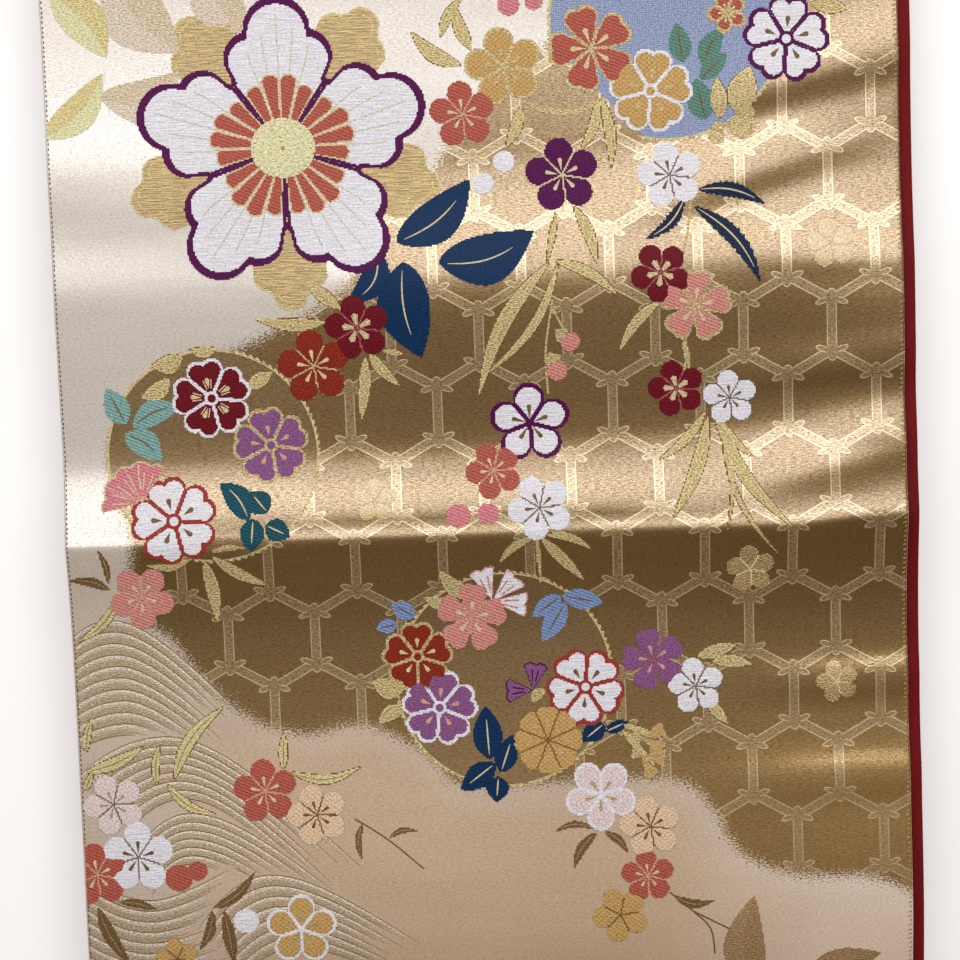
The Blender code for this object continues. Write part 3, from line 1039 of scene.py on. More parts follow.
STEMS = [
    ("gold", 2.3, ((16.5, 137.5), (22.5, 134.5), (30, 133), (37.5, 133.8), (45.5, 138))),
    ("brown", 0.55, ((-55, -125), (-42.5, -133.5), (-30, -144.5))),
    ("brown", 0.55, ((61.5, -156.5), (70, -164), (76.5, -171), (78, -181))),
    ("brown", 0.55, ((70, -164), (81, -170), (93, -176.5))),
    ("gold", 0.8, ((76, 103.5), (74.5, 89), (71.5, 77.5))),
    ("gold", 0.8, ((22, 31), (21.5, 47), (24.5, 65.5))),
    ("gold", 0.8, ((24.5, 62), (28, 55), (30.5, 50))),
    ("gold", 0.8, ((72.5, 52.5), (73, 45.5), (72, 37.5))),
    ("gold", 0.8, ((15.5, -22.5), (16.5, -30), (17, -38.5))),
    ("gold", 0.8, ((42, -92.5), (48.5, -99.5), (55, -105.5))),
]
# The edge of the gold ground on the top stretch, closed round the right edge and the far end.
GOLD_EDGE = [
    (36, 194), (28, 160), (0, 139), (-13, 120), (-23, 109), (-38, 98), (-45, 82), (-58, 67), (-92, 51),
    (-125, 36), (-141, 13), (-133, -19), (-137, -43), (-121, -55), (-108, -73), (-91, -87), (-72, -93),
    (-50, -90), (-27, -102), (-14, -114), (20, -114), (61, -114), (76, -122), (88, -142), (110, -152),
    (140, -154), (171, -170),
]
FAR_GOLD = [(175, 300), (-175, 300), (-175, 243), (-120, 228), (-60, 233), (0, 215)]
NEAR_GOLD = [
    (-175, -300), (-175, -236), (-110, -226), (-40, -238), (40, -222), (100, -240), (175, -232),
    (175, -300),
]
GREAT_BLOSSOM = (-71.5, 123.5, 54.5, 91.0)
ROUNDELS = [
    (-102, 12.5, 38.7, "roundel_gold"),
    (2.5, -74.5, 40, "roundel_gold"),
    (69, 164.5, 42.5, "sky_blue"),
]
WAVES = [
    Wave(Swell(-143, -47.5, 15.5, 7, 48, 38), Swell(-139, -91, 20, 6, 32, 15.5), 11),
    Wave(Swell(-125, -92, 34, 14.5, 73, 52.5), Swell(-119, -115.5, 21.5, 12.5, 55, 40.5), 8),
    Wave(Swell(-117, -121, 24, 18.5, 59.5, 36), Swell(-117, -140, 15, 11.5, 38, 18), 7),
    Wave(Swell(-133, -153.5, 27, -13, 31, -11.5), Swell(-134, -182, 26, -9, 36, -8), 8),
    Wave(Swell(-88, -145, 27, 19.5, 57, 29), Swell(-79, -173, 19.5, 9.5, 39, 14), 8),
]
# How soon a water line straightens out, its steps, and how many points it takes to swell and to thin out.
STRAIGHTENING = 2.5
WATER_STEPS = 60
SWELLING, THINNING = 4, 14
# The sky blue cloud shows over this line, or right of the other one, where a x + b y is over c.
CLOUD_FOOT = 157.0
CLOUD_SIDE = (46, 28, 6140)
# The twisted strands of a medallion's ring.
TWIST_PITCH = 2.6
TWIST_LEAN = 74
# For each silk: the silk of its seams, its stamens, its veins and its light half.
SEAMS = {
    "white": "seam", "ochre": "brown_seam", "peach": "brown_seam", "blush": "seam", "pink": "coral_seam",
    "crimson": "rose_seam", "coral": "coral_seam", "orange": "gold", "lilac": "rose_seam",
}
DROPS = {"white": "brown", "blush": "straw", "ochre": "sepal", "peach": "brown", "lilac": "coral_seam"}
VEINS = {
    "navy": "cream", "dark_navy": "cream", "dark_teal": "cream", "gold": "gold_line", "yellow_gold": "olive",
    "brown": "olive",
}
GHOST_LIGHTS = {"tan": "tan_light", "olive": "olive_light", "pale_yellow": "gold_line"}
# Where stamens start and end, as shares of the radius, and how wide an edging is.
STAMENS = {CHERRY: (0.24, 0.5), DAISY: (0.34, 0.58)}
EDGE_WIDTH = {"purple": 1.75, "rust": 1.6}
# The great blossom: the bands of its sepals, where its veins turn and end, and where its florets do.
SEPAL_BANDS = (("gold_line", 0.0, 0.0), ("sepal", 2.0, 0.7), ("gold_line", 2.0, 2.6), ("sepal", 2.0, 3.1))
GREAT_VEINS = ((-17, 0.7), (-8, 0.8), (0, 0.88), (8, 0.76), (17, 0.66))
FLORETS = ((-24.5, 0.44), (-8, 0.485), (8, 0.49), (24.5, 0.445))
ROUNDEL_GOLD = "roundel_gold"
# The steps of a woven edge across and along, how closely an outline is followed, and the plain long edge.
STAIR = (0.58, 0.56)
STAIR_SAMPLE = 0.3
SELVAGE = 0.7
# A leaf's points along each side, the depth of its teeth, and the widths of its dark rim and light border.
LEAF_STEPS = 24
TOOTH = 0.7
RIM = 0.32
BORDER = 0.62
# How wide a leaf has to be to have a light border, and to have a vein.
LEAST_BORDERED = 2.4
LEAST_VEINED = 1.4
PETAL_STEPS = 40


def clipped(outline: Sequence[Point]) -> list[Point]:
    """Cuts an outline off at the cloth's two long edges.

    Args:
        outline: The closed outline.

    Returns:
        What is left of it.
    """
    points = list(outline)
    for side, edge in ((1.0, RIGHT_EDGE - SELVAGE), (-1.0, -(LEFT_EDGE + SELVAGE))):
        kept: list[Point] = []
        for (x0, y0), (x1, y1) in zip(points, [*points[1:], *points[:1]]):
            if side * x0 <= edge:
                kept.append((x0, y0))
            if (side * x0 <= edge) != (side * x1 <= edge):
                t = (side * edge - x0) / (x1 - x0)
                kept.append((side * edge, y0 + (y1 - y0) * t))
        points = kept
    return points


def stepped(outline: Sequence[Point]) -> list[Point]:
    """Steps an outline as wefts do, on the grid of the threads.

    Args:
        outline: The smooth closed outline.

    Returns:
        The stepped outline.
    """
    wide, high = STAIR
    points: list[Point] = []
    for (x0, y0), (x1, y1) in zip(outline, [*outline[1:], outline[0]]):
        count = max(1, math.ceil(math.hypot(x1 - x0, y1 - y0) / STAIR_SAMPLE))
        for i in range(count):
            t = i / count
            step = (round((x0 + (x1 - x0) * t) / wide) * wide, round((y0 + (y1 - y0) * t) / high) * high)
            if not points or step != points[-1]:
                points.append(step)
    while len(points) > 1 and points[0] == points[-1]:
        points.pop()
    return points


def smooth_line(points: Sequence[Point], count: int) -> list[Point]:
    """Runs a smooth curve through a few points.

    Args:
        points: The points.
        count: How many steps the curve has.

    Returns:
        The curve's points.
    """
    line = []
    last = len(points) - 1
    for i in range(count + 1):
        place = i / count * last
        k = min(last - 1, int(place))
        t = place - k
        a, b, c, d = (Vector(points[min(last, max(0, k + j))]) for j in (-1, 0, 1, 2))
        bent = b * 2 + (c - a) * t + (a * 2 - b * 5 + c * 4 - d) * t * t
        bent = (bent + (b * 3 - a - c * 3 + d) * t**3) / 2
        line.append((bent.x, bent.y))
    return line


def ribbon(line: Sequence[Point], width: float, taper: bool = False) -> list[Point]:
    """Gives a narrow band along a line as a closed outline.

    Args:
        line: The line.
        width: The band's width.
        taper: Whether it narrows to its ends.

    Returns:
        The outline.
    """
    left, right = [], []
    last = len(line) - 1
    for i, (x, y) in enumerate(line):
        x0, y0 = line[max(0, i - 1)]
        x1, y1 = line[min(last, i + 1)]
        long = math.hypot(x1 - x0, y1 - y0) or 1.0
        half = width / 2 * (math.sin(math.pi * (0.04 + 0.92 * i / last)) ** 0.6 if taper else 1.0)
        side_x, side_y = -(y1 - y0) / long * half, (x1 - x0) / long * half
        left.append((x + side_x, y + side_y))
        right.append((x - side_x, y - side_y))
    return left + right[::-1]


def petal(
    circles: Sequence[Spot], half_angle: float, clear: float, inset: float, radius: float
) -> list[Point]:
    """Gives one petal, along +X from the flower's middle.

    Args:
        circles: What bounds it, as shares of the radius.
        half_angle: Half of its share of the turn, in radians.
        clear: How far it stays from the line between it and its neighbour.
        inset: How far it stays inside its circles.
        radius: The flower's radius.

    Returns:
        The petal's outline.
    """
    foot = clear / math.sin(half_angle)
    outline = [(foot, 0.0)]
    for i in range(PETAL_STEPS + 1):
        angle = half_angle * (2 * i / PETAL_STEPS - 1) * 0.999
        c, s = math.cos(angle), math.sin(angle)
        far = 0.0
        for out, aside, size in circles:
            dx, dy, reach = out * radius - foot - inset * 0.4, aside * radius, size * radius - inset * 0.6
            along, off = dx * c + dy * s, dx * s - dy * c
            if abs(off) < reach:
                far = max(far, along + math.sqrt(reach * reach - off * off))
        if far > 0.0:
            outline.append((foot + far * c, far * s))
    return outline


def drop(foot: float, end: float, width: float) -> list[Point]:
    """Gives a drop along +X, pointed at its foot and round at its far end.

    Args:
        foot: Where it starts.
        end: Where it ends.
        width: Half of its width at the round end.

    Returns:
        The outline.
    """
    outline = [(foot, 0.0)]
    for i in range(9):
        angle = math.radians(-100 + 25 * i)
        outline.append((end - width + width * math.cos(angle), width * math.sin(angle)))
    return outline


def turned(outline: Sequence[Point], degrees: float, x: float, y: float) -> list[Point]:
    """Turns an outline about its origin and moves it to a place.

    Args:
        outline: The outline.
        degrees: How far it is turned.
        x: The place across the cloth.
        y: The place along it.

    Returns:
        The moved outline.
    """
    c, s = math.cos(math.radians(degrees)), math.sin(math.radians(degrees))
    return [(x + px * c - py * s, y + px * s + py * c) for px, py in outline]


def ring(x: float, y: float, radius: float, aspect: float = 1.0, count: int = 48) -> list[Point]:
    """Gives a circle's outline, or an oval's.

    Args:
        x: Its middle across the cloth.
        y: Its middle along it.
        radius: Its radius.
        aspect: Its height as a share of its width.
        count: How many points it has.

    Returns:
        The outline.
    """
    return [
        (x + radius * math.cos(math.tau * i / count), y + radius * aspect * math.sin(math.tau * i / count))
        for i in range(count)
    ]


@dataclass
class Inlay:
    """The raised wefts: flat shapes laid on the top stretch, in one mesh for each silk."""

    lift: float = 0.1
    level_step: float = 0.05
    dome: float = 0.12
    grid: float = 3.0
    offset: Point = (0.13, 0.17)
    points: dict[str, list[Spot]] = field(default_factory=dict)
    faces: dict[str, list[tuple[int, ...]]] = field(default_factory=dict)

    def add(
        self, silk: str, outline: Sequence[Point], level: int, fine: bool = True, puffed: bool = False
    ) -> None:
        """Lays one shape.

        Args:
            silk: The silk's name.
            outline: The shape's closed outline.
            level: How many shapes it lies over.
            fine: Whether its edge steps with the threads.
            puffed: Whether its middle stands up.
        """
        edge = clipped(outline)
        edge = stepped(edge) if fine else edge
        if len(edge) < 4:
            return
        (x0, x1), (y0, y1) = ((min(side), max(side)) for side in zip(*edge))
        count = len(edge)
        flat = [Vector(p) for p in edge]
        gap = min(self.grid, (x1 - x0) / 2.2)
        for i in range(1, int((x1 - x0) / gap) + 1):
            for j in range(1, int((y1 - y0) / gap) + 1):
                spot = (x0 + i * gap - self.offset[0], y0 + j * gap - self.offset[1])
                near = min((spot[0] - x) ** 2 + (spot[1] - y) ** 2 for x, y in edge)
                if near > gap * gap / 9.0 and self.holds(edge, spot):
                    flat.append(Vector(spot))
        loop = [(i, (i + 1) % count) for i in range(count)]
        found, _, faces, *_ = geometry.delaunay_2d_cdt(flat, loop, [], 1, 1e-5)
        inner = {(round(p.x, 3), round(p.y, 3)) for p in flat[count:]}
        points = self.points.setdefault(silk, [])
        kept = self.faces.setdefault(silk, [])
        start = len(points)
        for p in found:
            raised = self.dome if puffed and (round(p.x, 3), round(p.y, 3)) in inner else 0.0
            lift = self.lift + self.level_step * level + raised
            points.append((p.x, p.y, STACK_HEIGHT + ripple_height(p.x, p.y) + lift))
        for face in faces:
            a, b, c = (found[i] for i in face[:3])
            up = (b - a).cross(c - a) > 0
            kept.append(tuple(start + i for i in (face if up else face[::-1])))

    @staticmethod
    def holds(outline: Sequence[Point], spot: Point) -> bool:
        """Tells whether an outline goes round a place.

        Args:
            outline: The closed outline.
            spot: The place.

        Returns:
            True where it does.
        """
        x, y = spot
        inside = False
        for (x0, y0), (x1, y1) in zip(outline, [*outline[1:], outline[0]]):
            if (y0 > y) != (y1 > y) and x < (x1 - x0) * (y - y0) / (y1 - y0) + x0:
                inside = not inside
        return inside

    def strip(
        self, silk: str, left: Sequence[Point], right: Sequence[Point], arch: float, level: float
    ) -> None:
        """Lays a long arched band between two lines, pointed at its ends where it is arched.

        Args:
            silk: The silk's name.
            left: The first line's points.
            right: The second line's, as many.
            arch: How high its middle stands.
            level: How many shapes it lies over.
        """
        points = self.points.setdefault(silk, [])
        faces = self.faces.setdefault(silk, [])
        start = len(points)
        across = 5 if arch else 2
        last = len(left) - 1
        for i, ((x0, y0), (x1, y1)) in enumerate(zip(left, right)):
            full = 1.0
            if arch:
                full = smooth_step(i / SWELLING + 0.15) * smooth_step((last - i) / THINNING + 0.02)
            for k in range(across):
                t = 0.5 + (k / (across - 1) - 0.5) * full
                x, y = x0 + (x1 - x0) * t, y0 + (y1 - y0) * t
                x = min(RIGHT_EDGE - SELVAGE, max(LEFT_EDGE + SELVAGE, x))
                lift = self.lift + self.level_step * level
                lift += arch * full * math.sin(math.pi * k / (across - 1)) ** 0.7
                points.append((x, y, STACK_HEIGHT + ripple_height(x, y) + lift))
        for j in range(last):
            for k in range(across - 1):
                a = start + j * across + k
                faces.append((a, a + 1, a + across + 1, a + across))

    def build(self) -> list[bpy.types.Object]:
        """Makes one mesh for each silk.

        Returns:
            The pieces.
        """
        made = []
        for name, points in self.points.items():
            piece = mesh_piece(f"{name}_wefts", points, self.faces[name], MM)
            if name == ROUNDEL_GOLD:
                satin = Ground(gold=(0.53, 0.385, 0.165))
                piece.data.materials.append(satin.material(name, lattice=False))
                inside = piece.data.attributes.new("satin", "FLOAT", "POINT")
                inside.data.foreach_set("value", [-50.0] * len(points))
            else:
                piece.data.materials.append(Woven(SILKS[name]).material(f"{name}_silk"))
            lay_places(piece, points)
            made.append(piece)
        return made


def mesh_piece(
    name: str, points: Sequence[Spot], faces: Sequence[tuple[int, ...]], scale: float
) -> bpy.types.Object:
    """Makes a mesh and its object.

    Args:
        name: The piece's name.
        points: Its points.
        faces: Its faces.
        scale: What the points are scaled by.

    Returns:
        The object.
    """
    mesh = bpy.data.meshes.new(name)
    mesh.from_pydata([(x * scale, y * scale, z * scale) for x, y, z in points], [], faces)
    mesh.update()
    mesh.shade_smooth()
    made = bpy.data.objects.new(name, mesh)
    bpy.context.scene.collection.objects.link(made)
    return made


def lay_places(piece: bpy.types.Object, places: Sequence[Sequence[float]]) -> None:
    """Writes each point's place across and along the cloth as the map named cloth.

    Args:
        piece: The piece.
        places: Each point's place, in millimetres.
    """
    layer = piece.data.uv_layers.new(name="cloth")
    for corner in piece.data.loops:
        x, y = places[corner.vertex_index][:2]
        layer.data[corner.index].uv = (x * MM, y * MM)


@dataclass
class Pattern:
    """The blossoms, leaves, rings and water of the top stretch."""

    inlay: Inlay = field(default_factory=Inlay)

    def lay(
        self, silk: str, shape: Sequence[Point], degrees: float, spot: Point, level: int,
        fine: bool = True, puffed: bool = False,
    ) -> None:
        """Turns a shape that is drawn along +X, moves it to its spot and lays it.

        Args:
            silk: The silk's name.
            shape: The shape's closed outline.
            degrees: How far it is turned.
            spot: Where it goes.
            level: How many shapes it lies over.
            fine: Whether its edge steps with the threads.
            puffed: Whether its middle stands up.
        """
        self.inlay.add(silk, turned(shape, degrees, *spot), level, fine, puffed)

    def blossom(self, row: Blossom) -> None:
        """Lays one blossom: its edging or seams, its petals and its stamens.

        Args:
            row: The blossom.
        """
        count, circles = row.flower.value
        half = math.pi / count
        edged = row.edge != "none"
        gap = 0.6 if row.flower is CHERRY else 0.32
        width = EDGE_WIDTH.get(row.edge, 1.3) if edged else 0.0
        under = row.edge if edged else SEAMS.get(row.silk, "cream")
        whole = petal(circles, half, 0.0, 0.0, row.radius)
        shape = petal(circles, half, max(gap, width * 0.5), width, row.radius)
        for k in range(count):
            angle = row.turn + 360.0 / count * k
            self.lay(under, whole, angle, row.spot, Level.SEAM)
            self.lay(row.silk, shape, angle, row.spot, Level.PETAL, puffed=True)
            self.stamens(row, angle)
        if row.flower is CHERRY:
            self.inlay.add(under, ring(*row.spot, row.radius * 0.17, 1.0, 20), Level.STAMEN, False)
            self.inlay.add(row.silk, ring(*row.spot, row.radius * 0.1, 1.0, 16), Level.MIDDLE, False)

    def stamens(self, row: Blossom, angle: float) -> None:
        """Lays the stamens on one petal.

        Args:
            row: The blossom.
            angle: The petal's direction, in degrees.
        """
        if row.silk == "ghost":
            return
        thread = DROPS.get(row.silk, "cream")
        foot, end = STAMENS.get(row.flower, (0.1, 0.46))
        shape = drop(row.radius * foot, row.radius * end, max(0.45, row.radius * 0.055))
        self.lay(thread, shape, angle, row.spot, Level.STAMEN, False)
        for side in (-12, 12) if row.silk == "crimson" else ():
            line = ribbon([(row.radius * foot, 0.0), (row.radius * (end - 0.04), 0.0)], 0.42)
            self.lay(thread, line, angle + side, row.spot, Level.STAMEN, False)

    def bud(self, row: Bud) -> None:
        """Lays one bud, and its calyx where it has one.

        Args:
            row: The bud.
        """
        self.inlay.add(row.silk, ring(*row.spot, row.radius, 0.95, 28), Level.SEAM, True, True)
        if row.stem < 0:
            return
        turn = math.radians(row.stem)
        foot = (row.x + row.radius * 2.0 * math.cos(turn), row.y + row.radius * 2.0 * math.sin(turn))
        sepal = drop(0.0, row.radius * 1.35, row.radius * 0.3)
        for side in (-28, 0, 28):
            self.lay("gold", sepal, row.stem + 180 + side, foot, Level.MIDDLE, False)

    def fan(self, row: Fan) -> None:
        """Lays a blossom seen from the side, with its calyx.

        Args:
            row: The blossom.
        """
        circles = CHERRY.value[1]
        half = math.radians(max(20, (max(row.turns) - min(row.turns)) / len(row.turns) / 1.8))
        whole = petal(circles, half, 0.0, 0.0, row.radius)
        inner = petal(circles, half, 0.3, 0.6, row.radius)
        vein = ribbon([(row.radius * 0.3, 0.0), (row.radius * 0.7, 0.0)], 0.5)
        for k, angle in enumerate(row.turns):
            self.lay(row.edge, whole, angle, row.spot, Level.SEAM + 2 * (k % 2))
            self.lay(row.silk, inner, angle, row.spot, Level.PETAL + 2 * (k % 2))
            for side in (-9, 9):
                self.lay(row.edge, vein, angle + side, row.spot, Level.MIDDLE, False)
        back = sum(row.turns) / len(row.turns) + 180
        sepal = drop(-1.0, row.radius * 0.42, row.radius * 0.12)
        for side in (-35, 0, 35):
            self.lay("gold", sepal, back + side, row.spot, Level.LEAF, False)

    def leaf(self, row: Leaf) -> None:
        """Lays one leaf and its vein.

        Args:
            row: The leaf.
        """
        dx, dy = row.tip_x - row.x, row.tip_y - row.y
        length = math.hypot(dx, dy)
        angle = math.degrees(math.atan2(dy, dx))
        wide = row.width * (0.85 if row.silk == "yellow_gold" else 1.0)
        left, right, middle = [], [], []
        for i in range(LEAF_STEPS + 1):
            t = i / LEAF_STEPS
            bow = row.bend * length * math.sin(math.pi * t)
            half = wide / 2 * math.sin(math.pi * t**0.85) ** 0.85
            tooth = TOOTH * (i % 2) * math.sin(math.pi * t) if row.shape is LeafShape.SERRATED else 0.0
            left.append((t * length, bow + half + tooth))
            right.append((t * length, bow - half - tooth))
            middle.append((t * length, bow))
        if row.silk in ("gold", "yellow_gold"):
            rim = [(a, b + RIM) for a, b in left] + [(a, b - RIM) for a, b in right[::-1]]
            self.lay("brown_seam", rim, angle, row.spot, Level.RIM)
        bordered = row.silk == "gold" and row.width > LEAST_BORDERED
        self.lay("gold_line" if bordered else row.silk, left + right[::-1], angle, row.spot, Level.LEAF)
        if bordered:
            rows = [*zip(left, middle, right)][2 : LEAF_STEPS - 2]
            upper = [(a, max(mid + 0.12, b - BORDER)) for (a, b), (_, mid), _ in rows]
            lower = [(a, min(mid - 0.12, b + BORDER)) for _, (_, mid), (a, b) in rows]
            self.lay("gold", upper + lower[::-1], angle, row.spot, Level.SEAM)
        if row.shape is LeafShape.GHOST:
            self.lay(GHOST_LIGHTS[row.silk], left + middle[::-1], angle, row.spot, Level.SEAM)
        elif row.width > LEAST_VEINED:
            ends = slice(2, 19) if row.shape is LeafShape.BROAD else slice(1, 21)
            line = ribbon(middle[ends], 0.45 if row.shape is LeafShape.FROND else 0.6, True)
            self.lay(VEINS.get(row.silk, "brown"), line, angle, row.spot, Level.PETAL, False)

    def great_blossom(self, x: float, y: float, radius: float, turn: float) -> None:
        """Lays the great cherry blossom.

        Args:
            x: Its middle across the sash.
            y: Its middle along the sash.
            radius: Its radius.
            turn: Its first petal's direction, in degrees.
        """
        lobes, sepal = Flower.GREAT.value[1], Flower.SEPAL.value[1]
        fifth, spot = math.pi / 5, (x, y)
        for k in range(5):
            for level, (silk, clear, inset) in enumerate(SEPAL_BANDS, start=Level.RIM):
                shape = petal(sepal, fifth, clear, inset, radius * 1.03)
                self.lay(silk, shape, turn + 36 + 72 * k, spot, level)
        for k in range(5):
            angle = turn + 72 * k
            self.lay("purple", petal(lobes, fifth, 0.0, 0.0, radius), angle, spot, Level.GREAT_EDGE)
            shape = petal(lobes, fifth, 1.2, 2.9, radius)
            self.lay("white", shape, angle, spot, Level.GREAT_PETAL, puffed=True)
            for side, end in GREAT_VEINS:
                vein = smooth_line([(radius * 0.4, 0.0), (radius * 0.6, side * 0.03), (radius * end, 0.0)], 6)
                self.lay("vein", ribbon(vein, 0.5), angle + side, spot, Level.VEIN, False)
            for side, long in FLORETS:
                tip = ((long - 0.06, 0.0, 0.06),)
                shape = petal(tip, math.radians(7.9), 0.0, -0.4, radius)
                self.lay("cream", shape, angle + side, spot, Level.FLORET_EDGE)
                shape = petal(tip, math.radians(6.5), 0.1, 0.2, radius)
                self.lay("coral", shape, angle + side, spot, Level.FLORET, puffed=True)
        self.inlay.add("pale_yellow", ring(*spot, radius * 0.215, 0.92), Level.DISC, True, True)
        self.knots(x, y, radius * 0.19)

    def knots(self, x: float, y: float, radius: float) -> None:
        """Lays rings of small knots on the flower's middle.

        Args:
            x: The middle across the cloth.
            y: The middle along it.
            radius: How far out they go.
        """
        for k in range(1, 5):
            far = radius * k / 4
            count = round(far * 3.4)
            for i in range(count):
                angle = math.tau * (i + 0.5 * (k % 2)) / count
                out = far + 0.6 * math.sin(i * 2.9 + k)
                spot = (x + out * math.cos(angle), y + out * 0.92 * math.sin(angle))
                silk = ("knot", "knot", "yellow_gold", "knot", "pale_yellow")[(i * 3 + k) % 5]
                self.inlay.add(silk, ring(*spot, 0.7, 1.0, 7), Level.KNOT, False, True)
        self.inlay.add("ochre", ring(x, y, 0.8, 1.0, 8), Level.HEART, False)

    def roundel(self, x: float, y: float, radius: float, inside: str) -> None:
        """Lays a round medallion: its inside and the two strands of its ring.

        Args:
            x: Its middle across the cloth.
            y: Its middle along it.
            radius: Its radius.
            inside: The silk inside it.
        """

        def shown(spot: Point) -> bool:
            """Tells whether the medallion shows at a place."""
            a, b, c = CLOUD_SIDE
            return inside == ROUNDEL_GOLD or spot[1] > CLOUD_FOOT or a * spot[0] + b * spot[1] > c

        outline = [p for p in ring(x, y, radius, 1.0, 120) if shown(p)]
        self.inlay.add(inside, outline, Level.MEDALLION, False)
        twist = drop(-1.7, 1.7, 0.7)
        for k in range(round(math.tau * radius / TWIST_PITCH)):
            turn = TWIST_PITCH / radius * k
            spot = (x + radius * math.cos(turn), y + radius * math.sin(turn))
            if shown(spot):
                silk = "gold_line" if k % 5 else "gold"
                self.lay(silk, twist, math.degrees(turn) + TWIST_LEAN, spot, Level.RIM, False)

    def water(self, row: Wave, hills: Sequence[Sequence[Point]]) -> None:
        """Lays one swell of water lines with padded bands between them, the near half of each band darkened
        as painted shade.

        Args:
            row: The family of lines.
            hills: The outlines of the swells in front of it, where it doesn't show.
        """
        spaces = row.lines - 1

        def line(place: float) -> list[Point]:
            """Gives the line at a place between the first and the last."""
            return row.first.toward(row.last, place / spaces).line(WATER_STEPS)

        for k in range(row.lines):
            upper, middle, lower = line(k + 0.08), line(k + 0.5), line(k + 0.97)
            reach = WATER_STEPS - (k * 7) % 11
            shown = [not any(Inlay.holds(hill, spot) for hill in hills) for spot in middle[:reach]]
            start = 0
            for i, seen in enumerate([*shown, False]):
                if seen:
                    continue
                if i - start > 5:
                    if k < spaces:
                        # The far half of each band is laid in the light water silk and the near half in the
                        # darker one, which is painted shade on the side turned from the light.
                        self.inlay.strip("wave", middle[start:i], upper[start:i], 0.1, -1.5)
                        self.inlay.strip("wave_shade", lower[start:i], middle[start:i], 0.02, -1.6)
                    groove = ribbon(line(k)[start:i], 0.42, True)
                    half = len(groove) // 2
                    self.inlay.strip("groove", groove[: half - 1 : -1], groove[:half], 0.0, -0.5)
                start = i + 1

    def build(self) -> list[bpy.types.Object]:
        """Lays the whole pattern.

        Returns:
            The pieces, one for each silk.
        """
        hills = [[*wave.first.line(30), *wave.last.line(30)[::-1]] for wave in WAVES]
        for k, wave in enumerate(WAVES):
            self.water(wave, hills[k + 1 :])
        for row in ROUNDELS:
            self.roundel(*row)
        for silk, wide, stem in STEMS:
            self.inlay.add(silk, ribbon(smooth_line(stem, 12), wide, wide > 2.0), Level.RIM, wide > 2.0)
        for shape, silk, rows in LEAVES:
            for row in rows:
                self.leaf(Leaf(shape, *row, silk))
        for lay, rows in ((self.bud, BUDS), (self.fan, FANS), (self.blossom, BLOSSOMS)):
            for row in rows:
                lay(row)
        self.great_blossom(*GREAT_BLOSSOM)
        return self.inlay.build()


# ------------------------------------------------------------------------------------------- the cloths


@dataclass(frozen=True)
class Station:
    """A point of a folded line: its place, the direction its brocade side faces, and its side shift."""

    y: float
    z: float
    out_y: float
    out_z: float
    shift: float


@dataclass
class Wrap:
    """One long stretch of the folded sash, as a line seen from the side."""

    stations: list[Station] = field(default_factory=list)

    def run(self, start: float, end: float, z: float, out_z: float, shift: float, step: float) -> "Wrap":
        """Adds a flat run.

        Args:
            start: Where it starts along the sash.
            end: Where it ends.
            z: Its height.
            out_z: 1 where its outer side faces up, and -1 where it faces down.
            shift: Its side shift.
            step: The distance between its rows.

        Returns:
            This wrap.
        """
        count = max(1, round(abs(end - start) / step))
        for i in range(count + 1):
            self.stations.append(Station(start + (end - start) * i / count, z, 0.0, out_z, shift))
        return self

    def bend(
        self, y: float, z: float, radius: float, angles: Point, shifts: Point, inward: bool = False
    ) -> "Wrap":
        """Adds a turn.

        Args:
            y: Its middle along the sash.
            z: Its middle's height.
            radius: The radius of the line.
            angles: Where it starts and ends, in degrees.
            shifts: The side shifts of its two ends.
            inward: Whether the outer side of the cloth faces the turn's middle.

        Returns:
            This wrap.
        """
        steps = 16
        side = -1 if inward else 1
        for i in range(1, steps):
            t = i / steps
            a = math.radians(angles[0] + (angles[1] - angles[0]) * t)
            c, s = math.cos(a), math.sin(a)
            shift = shifts[0] + (shifts[1] - shifts[0]) * t
            self.stations.append(Station(y + radius * c, z + radius * s, side * c, side * s, shift))
        return self

    def round_stack(self, depth: float, top: int, below: int, last: int) -> "Wrap":
        """Goes on from the top stretch: the far turn, the lower stretch and the near turn.

        Args:
            depth: How far the line lies inside the outermost one.
            top: The top stretch's number.
            below: The lower stretch's number.
            last: The number of the stretch after the near turn.

        Returns:
            This wrap.
        """
        shifts = [side_shift(stretch) for stretch in (top, below, last)]
        radius = TURN_RADIUS - depth
        self.bend(FAR_TURN, MID_HEIGHT, MID_HEIGHT - depth, (90, -90), (shifts[0], shifts[1]))
        self.run(FAR_TURN, NEAR_TURN, depth, -1.0, shifts[1], LOWER_STEP)
        self.bend(NEAR_TURN, depth + radius, radius, (-90, -270), (shifts[1], shifts[2]))
        return self.run(NEAR_TURN, NEAR_TURN + 0.5, depth + 2 * radius, 1.0, shifts[2], 1.0)

    def length(self) -> float:
        """Gives the line's length."""
        pairs = zip(self.stations, self.stations[1:])
        return sum(math.hypot(b.y - a.y, b.z - a.z) for a, b in pairs)


def outer_wrap(step: float) -> Wrap:
    """Gives the line round the whole stack, with close rows over the sharp crease of the top stretch.

    Args:
        step: The distance between rows on the top stretch.

    Returns:
        The line.
    """
    wrap = Wrap()
    runs = ((-HALF_LENGTH + TARE_INSET, -30.0, step), (-29.2, -12.0, 0.8), (-10.0, FAR_TURN, step))
    for start, end, gap in runs:
        wrap.run(start, end, STACK_HEIGHT, 1.0, side_shift(1), gap)
    return wrap.round_stack(0.0, 1, 8, 5)


def inner_wrap() -> Wrap:
    """Gives the line of the second wrap, turned crimson side out, from stretch 2 to stretch 6.

    Returns:
        The line.
    """
    start, height = -HALF_LENGTH + TE_INSET, STACK_HEIGHT - LAYER_PITCH
    wrap = Wrap().run(start, FAR_TURN, height, 1.0, side_shift(2), INNER_STEP)
    return wrap.round_stack(LAYER_PITCH, 2, 7, 6)


